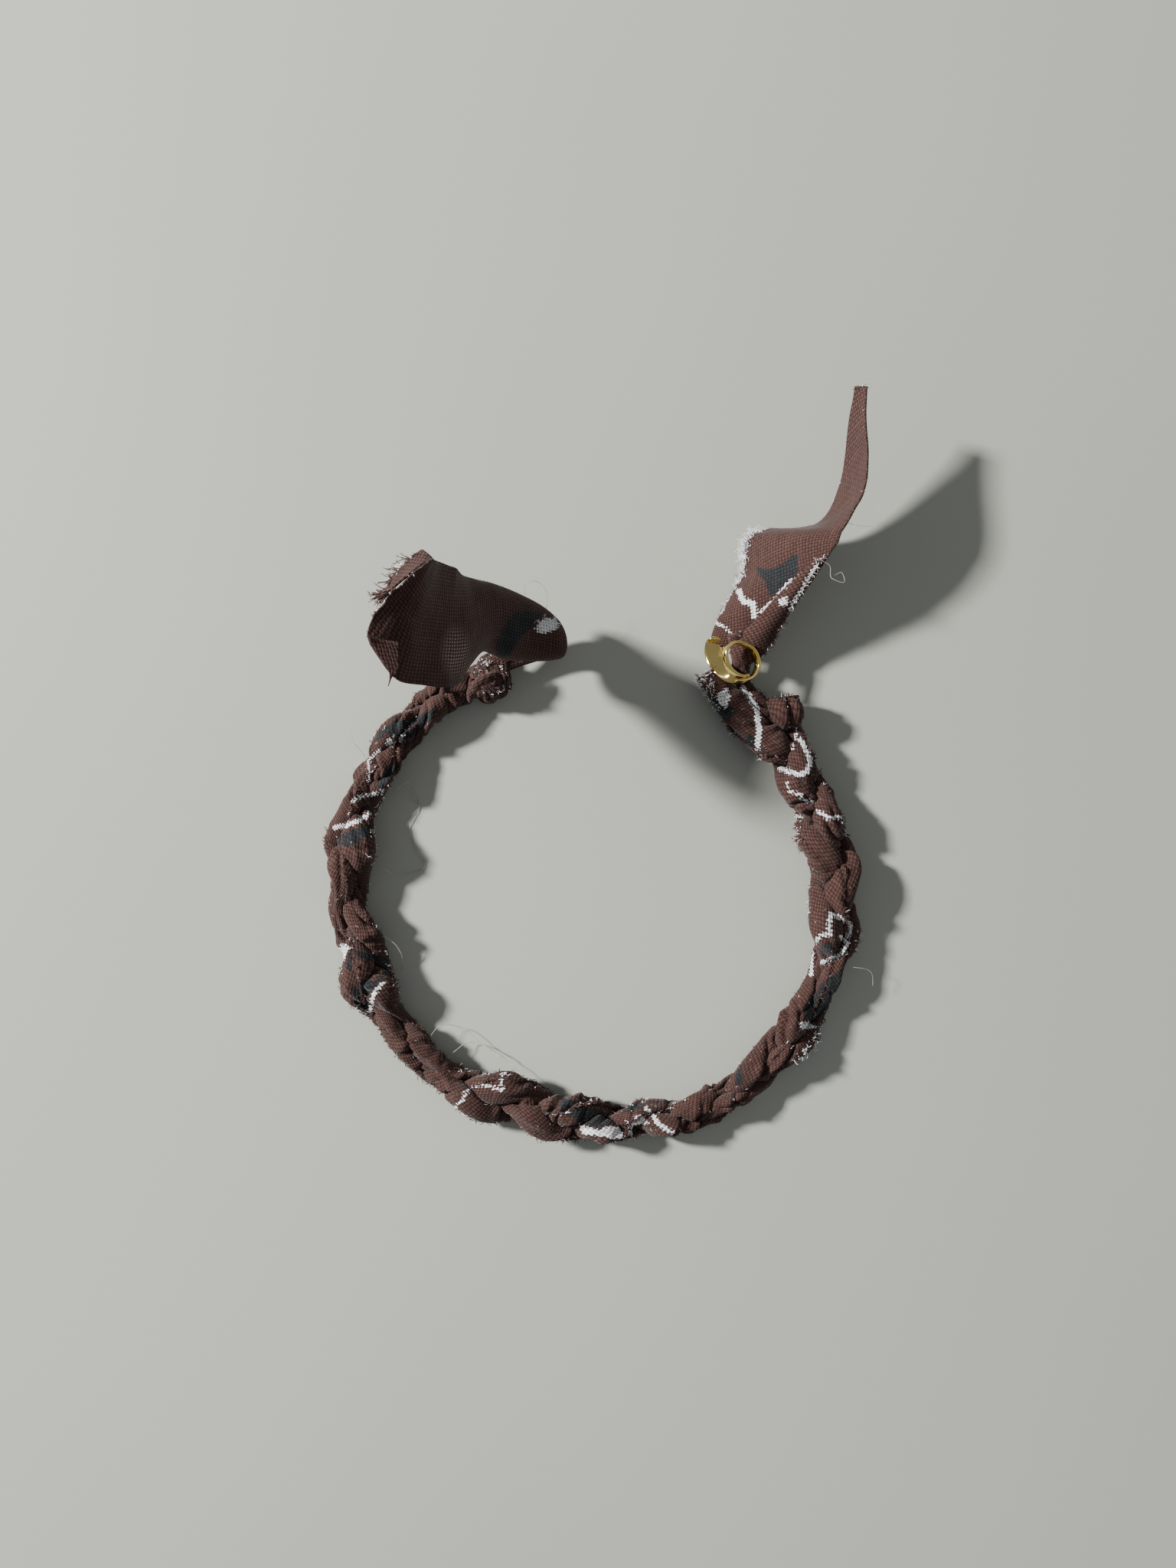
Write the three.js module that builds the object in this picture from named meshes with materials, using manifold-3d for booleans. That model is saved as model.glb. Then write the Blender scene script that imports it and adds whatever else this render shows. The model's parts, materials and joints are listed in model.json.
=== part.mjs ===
// A braided wrist-sized band made of three torn cotton strips. It is an open C that lies flat:
// the strips end in two loose tails, and a coiled brass ring is clipped on the neck of one tail.
// Millimetres, +Z up. The band lies on z = 0 and opens towards +Y.
import * as THREE from "three";
import { mergeVertices } from "three/addons/utils/BufferGeometryUtils.js";
import Module from "manifold-3d";

// Driving dimensions
const BAND_RADIUS = 33.6; // centre of the C to the middle of the braid
const BAND_START = 125; // degrees, the end of the braid at the knot
const BAND_END = 399; // degrees, the end of the braid at the ring
const LEFT_INSET = 2.6; // how far the knot end bends inside the circle
const RIGHT_INSET = 1.2;
const INSET_SPAN = 34; // degrees over which an end bends inwards
const BAND_SHIFT = [-0.04, -13.56]; // centre of the C in the part's frame
const BRAID_PERIOD = 31; // along the band, for one strand to cross and come back
const BRAID_SWING = 2.6; // a strand's sideways travel to each side
const BRAID_RISE = 1.9; // a strand's travel up and down
const STRAND_HALF_WIDTH = 1.45;
const STRAND_HALF_HEIGHT = 1.08;
const FLOOR_TRIM = 0.22; // how far the undersides are pressed flat
const BRAID_HEIGHT = BRAID_RISE + STRAND_HALF_HEIGHT - FLOOR_TRIM; // middle of the braid
const STRAND_STEP = 2.3;
const STRAND_SIDES = 10;
const LEFT_FLEX = 235; // degrees, where the left arm flexes on the crown
const RIGHT_FLEX = 305;
const FLEX_GAP = 1.5;
const CLOTH = 0.9; // thickness of a tail's solid
const RING_CENTRE = [18.7, 30.5, 5.0];
const RING_AXIS = [0.44, -0.35, 0.83];
const RING_RADIUS = 2.55;
const RING_TURNS = 1.72;
const RING_PITCH = 4.1;
const RING_START = 310; // degrees, where the coil's ends lie round its axis
const RING_STRIP = { wide: 1.1, narrow: 0.75, thick: 0.5 };
const KNOT = { centre: [-14.2, 27.3, 3.95], half: [2.5, 3.3, 3.5] };

const COLOURS = { cloth_a: 0x6d4338, cloth_b: 0x64402f, cloth_c: 0x5b3a33, brass: 0xc9a227 };

const wasm = await Module();
wasm.setup();

const radians = (degrees) => (degrees * Math.PI) / 180;
const vector = (p) => new THREE.Vector3(...p);

function ease(t) {
  const u = Math.min(1, Math.max(0, t));
  return u * u * (3 - 2 * u);
}

// Radius of the band's middle line at an angle.
function radiusAt(angle) {
  const left = LEFT_INSET * ease((BAND_START + INSET_SPAN - angle) / INSET_SPAN);
  const right = RIGHT_INSET * ease((angle - BAND_END + INSET_SPAN) / INSET_SPAN);
  return BAND_RADIUS - left - right;
}

// A strand's place in the braid, from its number (0, 1, 2) and the angle round the band.
function braidPoint(strand, angle) {
  const along = radians(angle - BAND_END) * BAND_RADIUS;
  const phase = (2 * Math.PI * along) / BRAID_PERIOD + (2 * Math.PI * strand) / 3;
  const radius = radiusAt(angle) + BRAID_SWING * Math.sin(phase);
  const height = BRAID_HEIGHT + BRAID_RISE * Math.sin(2 * phase);
  return new THREE.Vector3(
    radius * Math.cos(radians(angle)),
    radius * Math.sin(radians(angle)),
    height,
  );
}

// Where each strand goes after the braid at the ring's end: the neck and two cut ends.
const STRAND_ENDS = [
  [[21.9, 24.9, 4.4], [20.6, 27.0, 5.0], [18.9, 31.0, 5.15], [17.6, 34.2, 5.1]],
  [[25.7, 24.6, 3.3]],
  [[19.6, 23.4, 3.4], [16.9, 26.0, 2.7]],
];
const NECK_RADIUS = 0.75;

function strandPath(strand) {
  const points = [];
  const step = THREE.MathUtils.radToDeg(STRAND_STEP / BAND_RADIUS);
  const count = Math.round((BAND_END - BAND_START) / step);
  for (let i = 0; i <= count; i += 1) {
    points.push(braidPoint(strand, BAND_START + ((BAND_END - BAND_START) * i) / count));
  }
  const tail = new THREE.CatmullRomCurve3([
    points[points.length - 2],
    points[points.length - 1],
    ...STRAND_ENDS[strand].map(vector),
  ]);
  const spans = STRAND_ENDS[strand].length + 1;
  const extra = spans * 3;
  for (let i = 1; i <= extra; i += 1) {
    points.push(tail.getPoint((1 + (i / extra) * (spans - 1)) / spans));
  }
  return { points, braided: count + 1 };
}

// A closed solid from rings of points, each ring running the same way round.
function loft(rings) {
  const sides = rings[0].length;
  const positions = rings.flat().flatMap((p) => [p.x, p.y, p.z]);
  const index = [];
  for (let i = 0; i + 1 < rings.length; i += 1) {
    for (let j = 0; j < sides; j += 1) {
      const a = i * sides + j;
      const b = i * sides + ((j + 1) % sides);
      index.push(a, b + sides, b, a, a + sides, b + sides);
    }
  }
  const last = (rings.length - 1) * sides;
  for (let j = 1; j + 1 < sides; j += 1) {
    index.push(0, j, j + 1, last, last + j + 1, last + j);
  }
  const geometry = new THREE.BufferGeometry();
  geometry.setAttribute("position", new THREE.Float32BufferAttribute(positions, 3));
  geometry.setIndex(index);
  return geometry;
}

// A ring of points: an ellipse across the direction of travel, its long axis level.
function ellipseRing(centre, direction, halfWidth, halfHeight, sides) {
  const side = new THREE.Vector3().crossVectors(direction, new THREE.Vector3(0, 0, 1));
  side.normalize();
  const up = new THREE.Vector3().crossVectors(side, direction).normalize();
  const ring = [];
  for (let j = 0; j < sides; j += 1) {
    const turn = (2 * Math.PI * j) / sides;
    ring.push(
      centre
        .clone()
        .addScaledVector(side, halfWidth * Math.cos(turn))
        .addScaledVector(up, halfHeight * Math.sin(turn)),
    );
  }
  return ring;
}

function merged(geometry) {
  const bare = geometry.clone();
  bare.deleteAttribute("normal");
  bare.deleteAttribute("uv");
  return mergeVertices(bare, 1e-4);
}

function solid(geometry) {
  const shape = merged(geometry);
  return new wasm.Manifold(
    new wasm.Mesh({
      numProp: 3,
      vertProperties: new Float32Array(shape.attributes.position.array),
      triVerts: new Uint32Array(shape.index.array),
    }),
  );
}

function geometryOf(shape) {
  const mesh = shape.getMesh();
  const positions = [];
  for (let i = 0; i < mesh.numVert; i += 1) {
    positions.push(...mesh.vertProperties.slice(i * mesh.numProp, i * mesh.numProp + 3));
  }
  const geometry = new THREE.BufferGeometry();
  geometry.setAttribute("position", new THREE.Float32BufferAttribute(positions, 3));
  geometry.setIndex([...mesh.triVerts]);
  geometry.computeVertexNormals();
  return geometry;
}

// The whole of one strand, before it is parted at the two flexing places.
function wholeStrand(strand) {
  const { points, braided } = strandPath(strand);
  const rings = points.map((point, i) => {
    const before = points[Math.max(0, i - 1)];
    const after = points[Math.min(points.length - 1, i + 1)];
    const direction = after.clone().sub(before).normalize();
    const past = ease((i - braided + 1) / 5);
    const endWidth = strand === 0 ? NECK_RADIUS : STRAND_HALF_WIDTH * 0.75;
    const endHeight = strand === 0 ? NECK_RADIUS : STRAND_HALF_HEIGHT * 0.9;
    return ellipseRing(
      point,
      direction,
      THREE.MathUtils.lerp(STRAND_HALF_WIDTH, endWidth, past),
      THREE.MathUtils.lerp(STRAND_HALF_HEIGHT, endHeight, past),
      STRAND_SIDES,
    );
  });
  return solid(loft(rings));
}

// A slice of pie round the band's centre, from one angle to another, moved off its cut
// faces by half the flexing gap.
function sector(from, to) {
  const reach = 90;
  const half = THREE.MathUtils.radToDeg(FLEX_GAP / 2 / BAND_RADIUS);
  const shape = new THREE.Shape().moveTo(0, 0);
  for (let i = 0; i <= 12; i += 1) {
    const angle = radians(from + half + ((to - from - 2 * half) * i) / 12);
    shape.lineTo(reach * Math.cos(angle), reach * Math.sin(angle));
  }
  shape.closePath();
  const geometry = new THREE.ExtrudeGeometry(shape, { depth: 40, bevelEnabled: false });
  return solid(geometry); // its floor is z = 0, which presses the undersides flat
}

const sheetRow = (row) => [vector(row.slice(0, 3)), vector(row.slice(3, 6))];

// A bent sheet between two edges, given as rows of (x, y, z) on one edge and on the other.
function bentSheet(rows, steps, across, from = 0, to = 1) {
  const edges = [0, 1].map((k) => new THREE.CatmullRomCurve3(rows.map((r) => sheetRow(r)[k])));
  const grid = [];
  for (let i = 0; i <= steps; i += 1) {
    const t = from + ((to - from) * i) / steps;
    const [a, b] = edges.map((edge) => edge.getPoint(t));
    grid.push(Array.from({ length: across + 1 }, (_, j) => a.clone().lerp(b, j / across)));
  }
  const rings = grid.map((line, i) => {
    const ahead = grid[Math.min(steps, i + 1)];
    const behind = grid[Math.max(0, i - 1)];
    const lower = [];
    const upper = [];
    line.forEach((point, j) => {
      const run = ahead[j].clone().sub(behind[j]);
      const span = line[Math.min(across, j + 1)].clone().sub(line[Math.max(0, j - 1)]);
      const normal = new THREE.Vector3().crossVectors(run, span).normalize();
      upper.push(point.clone().addScaledVector(normal, CLOTH / 2));
      lower.push(point.clone().addScaledVector(normal, -CLOTH / 2));
    });
    return [...upper, ...lower.reverse()];
  });
  return solid(loft(rings));
}

// The left tail, from the knot round the loop and up to its free corner.
const LEFT_TAIL = [
  [-11.0, 27.2, 2.3, -11.2, 31.4, 3.2],
  [-6.6, 28.4, 2.0, -7.2, 33.4, 2.6],
  [-3.8, 29.4, 2.4, -4.2, 35.0, 2.9],
  [-2.6, 29.8, 4.4, -3.2, 36.0, 4.6],
  [-4.0, 29.2, 7.0, -4.6, 36.6, 6.8],
  [-6.6, 27.9, 10.2, -7.4, 37.4, 9.8],
  [-9.6, 26.2, 14.2, -10.8, 38.2, 14.6],
  [-12.6, 25.0, 19.4, -13.6, 38.9, 20.4],
  [-15.5, 24.6, 25.2, -15.6, 39.3, 25.2],
  [-18.6, 24.6, 29.8, -17.0, 39.5, 28.0],
  [-22.5, 25.4, 33.0, -18.2, 39.6, 30.2],
  [-25.4, 30.0, 34.0, -19.4, 39.5, 31.6],
];
const LEFT_LIFT_AT = 0.36; // share of the tail's rows that stay with the knot
const LIFT_GAP = 0.022;

// The right tail, from the ring to its narrow tip: it stands on its left edge.
const RIGHT_TAIL = [
  [16.6, 35.3, 5.0, 19.2, 35.6, 5.6],
  [16.9, 37.0, 4.7, 22.4, 37.2, 7.6],
  [17.4, 39.6, 4.2, 26.6, 39.2, 10.4],
  [18.5, 43.4, 3.4, 29.6, 42.3, 12.0],
  [21.0, 47.0, 3.0, 31.6, 44.6, 12.4],
  [26.2, 48.4, 3.0, 33.2, 46.6, 12.6],
  [30.4, 48.9, 3.0, 34.4, 48.8, 12.9],
  [32.5, 51.2, 3.7, 35.2, 51.6, 13.0],
  [33.3, 55.0, 5.5, 35.4, 55.4, 13.0],
  [33.7, 58.6, 7.3, 35.4, 58.8, 13.0],
  [33.9, 64.6, 11.0, 35.2, 64.4, 13.2],
];

// The coil's strip: wide on its lower turn and narrow on its upper one.
function coilRing() {
  const axis = vector(RING_AXIS).normalize();
  const first = new THREE.Vector3(0, 0, 1).cross(axis).normalize();
  const second = axis.clone().cross(first);
  const steps = 46;
  const sides = 8;
  const rings = [];
  for (let i = 0; i <= steps; i += 1) {
    const share = i / steps;
    const turn = radians(RING_START + 360 * RING_TURNS * (share - 0.5));
    const out = first.clone().multiplyScalar(Math.cos(turn)).addScaledVector(second, Math.sin(turn));
    const centre = vector(RING_CENTRE)
      .addScaledVector(axis, RING_PITCH * RING_TURNS * (share - 0.5))
      .addScaledVector(out, RING_RADIUS);
    const width = THREE.MathUtils.lerp(RING_STRIP.wide, RING_STRIP.narrow, share);
    const ring = [];
    for (let j = 0; j < sides; j += 1) {
      const around = (2 * Math.PI * (j + 0.5)) / sides;
      ring.push(
        centre
          .clone()
          .addScaledVector(out, (RING_STRIP.thick / 2) * Math.cos(around))
          .addScaledVector(axis, (width / 2) * Math.sin(around)),
      );
    }
    rings.push(ring);
  }
  return solid(loft(rings));
}

// The knot that binds the strands' left ends: a lump with three folds round it.
function knot() {
  const geometry = merged(new THREE.SphereGeometry(1, 18, 12));
  const place = geometry.attributes.position;
  for (let i = 0; i < place.count; i += 1) {
    const p = new THREE.Vector3().fromBufferAttribute(place, i);
    const folds = 1 + 0.05 * Math.cos(3 * Math.atan2(p.y, p.z) + 4 * p.x);
    place.setXYZ(
      i,
      KNOT.centre[0] + p.x * KNOT.half[0] * folds,
      KNOT.centre[1] + p.y * KNOT.half[1] * folds,
      KNOT.centre[2] + p.z * KNOT.half[2] * folds,
    );
  }
  return solid(geometry);
}

const band = new THREE.Group();
band.position.set(...BAND_SHIFT, 0);

function add(name, shape, colour, roughness, metalness) {
  const material = new THREE.MeshStandardMaterial({ color: colour, roughness, metalness });
  const mesh = new THREE.Mesh(geometryOf(shape), material);
  mesh.name = name;
  band.add(mesh);
}

const cloth = (name, shape, colour) => add(name, shape, colour, 0.92, 0);

const sectors = {
  left: sector(BAND_START - 30, LEFT_FLEX),
  crown: sector(LEFT_FLEX, RIGHT_FLEX),
  right: sector(RIGHT_FLEX, BAND_END + 40),
};
["a", "b", "c"].forEach((letter, strand) => {
  const whole = wholeStrand(strand);
  Object.entries(sectors).forEach(([part, slice]) => {
    cloth(`strand_${letter}_${part}`, whole.intersect(slice), COLOURS[`cloth_${letter}`]);
  });
});
cloth("left_knot", knot(), COLOURS.cloth_b);
cloth(
  "left_tail_loop",
  bentSheet(LEFT_TAIL, 10, 3, 0, LEFT_LIFT_AT - LIFT_GAP),
  COLOURS.cloth_c,
);
cloth("left_tail_flag", bentSheet(LEFT_TAIL, 14, 5, LEFT_LIFT_AT, 1), COLOURS.cloth_c);
cloth("right_tail_flag", bentSheet(RIGHT_TAIL, 22, 5), COLOURS.cloth_a);
add("coil_ring", coilRing(), COLOURS.brass, 0.18, 1);

export default band;
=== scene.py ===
"""Looks of the braided cotton band: rolled torn strips, loose tails, frayed threads and a brass coil.

Shapes are worked out in millimetres round the centre of the C, and make_object() turns them into
metres in the CAD frame.
"""
import json
import math

import bpy
import numpy as np
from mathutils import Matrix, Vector


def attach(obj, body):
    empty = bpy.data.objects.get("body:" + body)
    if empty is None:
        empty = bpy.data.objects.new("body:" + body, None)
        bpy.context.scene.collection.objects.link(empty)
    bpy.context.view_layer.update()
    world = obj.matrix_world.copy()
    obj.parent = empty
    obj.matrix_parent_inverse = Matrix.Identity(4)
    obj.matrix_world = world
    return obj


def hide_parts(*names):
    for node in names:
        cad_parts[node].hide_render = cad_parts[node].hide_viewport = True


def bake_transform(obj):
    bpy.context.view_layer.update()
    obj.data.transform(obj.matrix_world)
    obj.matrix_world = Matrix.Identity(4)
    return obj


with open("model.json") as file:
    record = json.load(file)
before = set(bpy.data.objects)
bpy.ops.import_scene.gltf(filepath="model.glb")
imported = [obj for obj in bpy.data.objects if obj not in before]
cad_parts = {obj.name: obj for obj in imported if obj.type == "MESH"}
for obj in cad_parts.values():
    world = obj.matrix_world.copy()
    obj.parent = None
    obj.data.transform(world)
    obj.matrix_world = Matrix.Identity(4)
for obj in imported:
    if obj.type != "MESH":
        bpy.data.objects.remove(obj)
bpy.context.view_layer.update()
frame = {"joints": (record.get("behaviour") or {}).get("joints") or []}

MM = 0.001
CENTRE = np.array([-0.04, -13.56, 0.0])  # centre of the C in the CAD frame, in millimetres
JOINTS = {joint["name"]: joint for joint in frame["joints"]}

# The braid follows the CAD part's, with fuller strands that swing less; lengths in millimetres
BAND_RADIUS = 33.6
BAND_START = 125.0
BAND_END = 399.0
GAP_ANGLE = 100.0  # inside the gap of the C: smaller angles count on past a full turn
BRAID_PERIOD = 31.0
SWING = 1.75
RISE = 1.4
HALF_WIDTH = 1.95
HALF_HEIGHT = 1.55
BRAID_HEIGHT = 2.8
STEP = 0.2  # length of one mesh row
AROUND = 60  # points round a strand
FLOOR = 0.04  # lowest that cloth lies
NO_PRINT = -9.0  # depth of a point far outside any print
WARP = 0.41  # thread pitches
WEFT = 0.50
EYE = np.array([-0.53, 13.33, 176.0])  # where the band is seen from, round the centre of the C

# The camera comes first

SENSOR_WIDTH = 36.0  # millimetres
LENS = 29.2


def add_camera():
    camera = bpy.data.objects.new("camera", bpy.data.cameras.new("camera"))
    bpy.context.scene.collection.objects.link(camera)
    camera.location = (EYE + CENTRE) * MM
    camera.data.sensor_width = SENSOR_WIDTH
    camera.data.lens = LENS
    camera.data.clip_start = 0.01
    bpy.context.scene.camera = camera


# Small tools


def ease(t):
    u = np.clip(t, 0.0, 1.0)
    return u * u * (3 - 2 * u)


def unit(vectors):
    return vectors / np.maximum(np.linalg.norm(vectors, axis=-1, keepdims=True), 1e-9)


def lattice(ix, iy, iz, seed):
    n = (ix * 374761393 + iy * 668265263 + iz * 1103515245 + seed * 974634777) & 0xFFFFFFFF
    n = ((n ^ (n >> 13)) * 1274126177) & 0xFFFFFFFF
    return ((n ^ (n >> 16)) & 0xFFFF) / 32767.5 - 1.0


def noise(points, size, seed):
    """Smooth noise from -1 to 1 with lumps of about that size."""
    p = np.asarray(points, float) / size
    cell = np.floor(p).astype(np.int64)
    f = ease(p - cell)
    total = 0.0
    for dx in (0, 1):
        for dy in (0, 1):
            for dz in (0, 1):
                weight = np.abs(1 - dx - f[..., 0]) * np.abs(1 - dy - f[..., 1])
                weight = weight * np.abs(1 - dz - f[..., 2])
                corner = lattice(cell[..., 0] + dx, cell[..., 1] + dy, cell[..., 2] + dz, seed)
                total = total + weight * corner
    return total


def noise2(u, v, seed):
    return noise(np.stack([u, v, np.zeros_like(u)], axis=-1), 1.0, seed)


def smooth_rows(values, times):
    """Evens out a grid whose columns run round a closed section."""
    for _ in range(times):
        padded = np.concatenate([values[:1], values, values[-1:]])
        values = 0.5 * values + 0.25 * (padded[:-2] + padded[2:])
        values = 0.5 * values + 0.25 * (np.roll(values, 1, 1) + np.roll(values, -1, 1))
    return values


def spline(points, steps):
    """A Catmull-Rom curve through points, with steps points on each span."""
    p = np.asarray(points, float)
    ends = np.concatenate([[2 * p[0] - p[1]], p, [2 * p[-1] - p[-2]]])
    out = []
    for i in range(len(p) - 1):
        a, b, c, d = ends[i:i + 4]
        t = (np.arange(steps) / steps)[:, None]
        out.append(0.5 * (2 * b + (c - a) * t + (2 * a - 5 * b + 4 * c - d) * t ** 2
                          + (3 * b - a - 3 * c + d) * t ** 3))
    return np.concatenate([*out, p[-1:]])


def evenly(points, step):
    """The same line with points a step apart."""
    lengths = np.concatenate([[0], np.cumsum(np.linalg.norm(np.diff(points, axis=0), axis=1))])
    count = max(2, int(round(lengths[-1] / step)) + 1)
    at = np.linspace(0, lengths[-1], count)
    return np.stack([np.interp(at, lengths, points[:, i]) for i in range(points.shape[1])], axis=1), at


def make_object(name, points, faces, material, **attributes):
    """A smooth mesh from points in millimetres round the centre of the C."""
    mesh = bpy.data.meshes.new(name)
    mesh.from_pydata(((np.asarray(points) + CENTRE) * MM).tolist(), [], faces)
    mesh.polygons.foreach_set("use_smooth", [True] * len(mesh.polygons))
    for key, values in attributes.items():
        layer = mesh.attributes.new(key, "FLOAT_VECTOR", "POINT")
        layer.data.foreach_set("vector", np.asarray(values, np.float32).ravel())
    mesh.materials.append(material)
    mesh.update()
    obj = bpy.data.objects.new(name, mesh)
    bpy.context.scene.collection.objects.link(obj)
    return obj


def tube_faces(rows, around):
    """Quads of a closed tube, and fans on its two end rings round two extra middle points."""
    faces = []
    for i in range(rows - 1):
        for j in range(around):
            k = (j + 1) % around
            a = i * around
            faces.append((a + j, a + around + j, a + around + k, a + k))
    first = rows * around
    last = (rows - 1) * around
    for j in range(around):
        k = (j + 1) % around
        faces.append((j, k, first))
        faces.append((last + k, last + j, first + 1))
    return faces


# The print: white outlines and navy patches, as seen from above at EYE.
# Each place is (angle round the band in degrees, distance out from the band's middle line).


def over_ground(points):
    """The ground's (x, y) that each point covers as seen from EYE."""
    scale = EYE[2] / (EYE[2] - points[..., 2])
    return EYE[0] + (points[..., 0] - EYE[0]) * scale, EYE[1] + (points[..., 1] - EYE[1]) * scale


def below(x, y, z):
    """The point at height z that is seen from EYE over the ground's (x, y)."""
    k = 1 - z / EYE[2]
    return (EYE[0] + (x - EYE[0]) * k, EYE[1] + (y - EYE[1]) * k, z)


def band_angle(x, y):
    """Degrees round the band, which runs on past 360 from the left end to the right one."""
    angle = np.degrees(np.arctan2(y, x)) % 360
    return np.where(angle < GAP_ANGLE, angle + 360, angle)


def seen_from_above(points):
    """Angle and offset of each point as it looks from EYE against the ground."""
    x, y = over_ground(points)
    return band_angle(x, y), np.hypot(x, y) - BAND_RADIUS


def distance_to_line(x, y, line):
    best = np.full(x.shape, 1e9)
    for (ax, ay), (bx, by) in zip(line[:-1], line[1:]):
        dx, dy = bx - ax, by - ay
        t = np.clip(((x - ax) * dx + (y - ay) * dy) / (dx * dx + dy * dy + 1e-12), 0, 1)
        best = np.minimum(best, np.hypot(x - ax - t * dx, y - ay - t * dy))
    return best


def inside_outline(x, y, line):
    inside = np.zeros(x.shape, bool)
    for (ax, ay), (bx, by) in zip(line, line[1:] + line[:1]):
        crosses = (ay > y) != (by > y)
        at = ax + (y - ay) * (bx - ax) / (by - ay + 1e-12)
        inside ^= crosses & (x < at)
    return inside


STROKE = 0.36  # half the width in millimetres of a line whose width is given as 1

WHITE_LINES = [  # (width, places along the line)
    (0.35, [(148.5, 0.9), (151.8, 1.5), (154.5, 0.5), (156.3, 0.1)]),
    (0.7, [(161.8, 1.3), (159.8, 0.2), (158.1, -1.4)]),
    (0.9, [(168.3, 2.6), (167.4, 1.3), (165.6, -0.3), (163.4, -1.4)]),
    (0.5, [(156.5, -2.0), (157.8, -2.3)]),
    (0.8, [(210.6, 2.1), (208.6, 1.1), (206.8, -0.3), (206.2, -1.5)]),
    (0.35, [(208.2, 3.8), (209.9, 3.1), (210.6, 2.3)]),
    (0.5, [(198.8, -3.5), (201.5, -4.0), (202.8, -3.2)]),
    (0.55, [(238.9, 3.0), (239.5, 1.8), (239.2, 0.7), (240.0, -0.7), (241.8, -1.5), (243.8, -1.8)]),
    (0.35, [(239.6, 3.3), (242.7, 3.5), (246.2, 3.4)]),
    (0.6, [(244.5, -1.8), (246.7, -2.0), (247.1, -2.4), (245.3, -3.2), (244.9, -4.0), (246.0, -4.8),
      (247.6, -5.0)]),
    (0.5, [(259.1, -0.7), (261.8, -1.0), (264.5, -1.4)]),
    (0.35, [(278.7, 2.1), (279.1, 0.7), (278.1, -0.1)]),
    (0.8, [(287.6, 3.0), (285.4, 1.5), (284.5, -0.1), (283.2, -1.2)]),
    (0.35, [(288.7, -0.1), (290.7, -0.9), (293.4, -0.7)]),
    (0.8, [(340.4, 0.2), (341.7, 1.3), (343.5, 2.3), (346.2, 2.9), (347.1, 1.8)]),
    (0.85, [(336.8, -0.6), (339.1, -1.1), (341.7, -1.6), (344.4, -1.6), (346.6, -0.9), (347.1, 0.1),
      (349.7, -0.2), (352.0, -0.2), (351.5, 1.3), (350.2, 2.7), (347.9, 2.7)]),
    (0.7, [(374.2, 1.8), (374.9, 0.2), (376.9, -0.9)]),
    (0.35, [(376.7, -3.2), (378.5, -4.6)]),
    (0.5, [(379.6, -1.1), (381.1, -2.7), (382.0, -2.2), (384.2, -3.6), (386.5, -3.4)]),
    (1.0, [(394.0, 1.3), (388.7, 0.9), (386.9, -0.1), (386.9, -1.4), (390.5, -3.2)]),
    (0.3, [(396.7, 1.9), (394.9, 0.7), (393.1, -0.6)]),
    (1.1, [(411.8, 0.2), (406.5, -0.6), (402.1, -2.4), (398.5, -4.4)]),
]
WHITE_PATCHES = [
    [(144.8, 0.7), (145.6, 0.8), (146.5, 0.5), (146.4, -0.2), (145.5, -0.4), (144.8, -0.0)],
    [(194.4, 2.3), (195.2, 2.8), (197.3, 3.0), (197.9, 2.5), (196.6, 1.8), (195.9, 1.3), (195.7, 0.5),
     (195.0, 1.0)],
    [(266.9, 0.2), (268.0, 1.5), (271.6, 1.8), (276.9, 2.5), (277.2, 2.1), (276.1, 0.7), (274.3, 0.5),
     (271.6, 0.9), (268.9, 0.5)],
    [(279.2, 0.7), (283.2, 1.0), (282.3, -0.3), (280.5, -0.5)],
    [(324.4, 1.8), (326.1, 3.3), (327.0, 3.4), (326.8, 2.3), (325.7, 1.2)],
    [(413.2, -1.6), (415.0, -0.9), (416.1, -2.7), (414.5, -3.5), (411.8, -3.5)],
]
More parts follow.
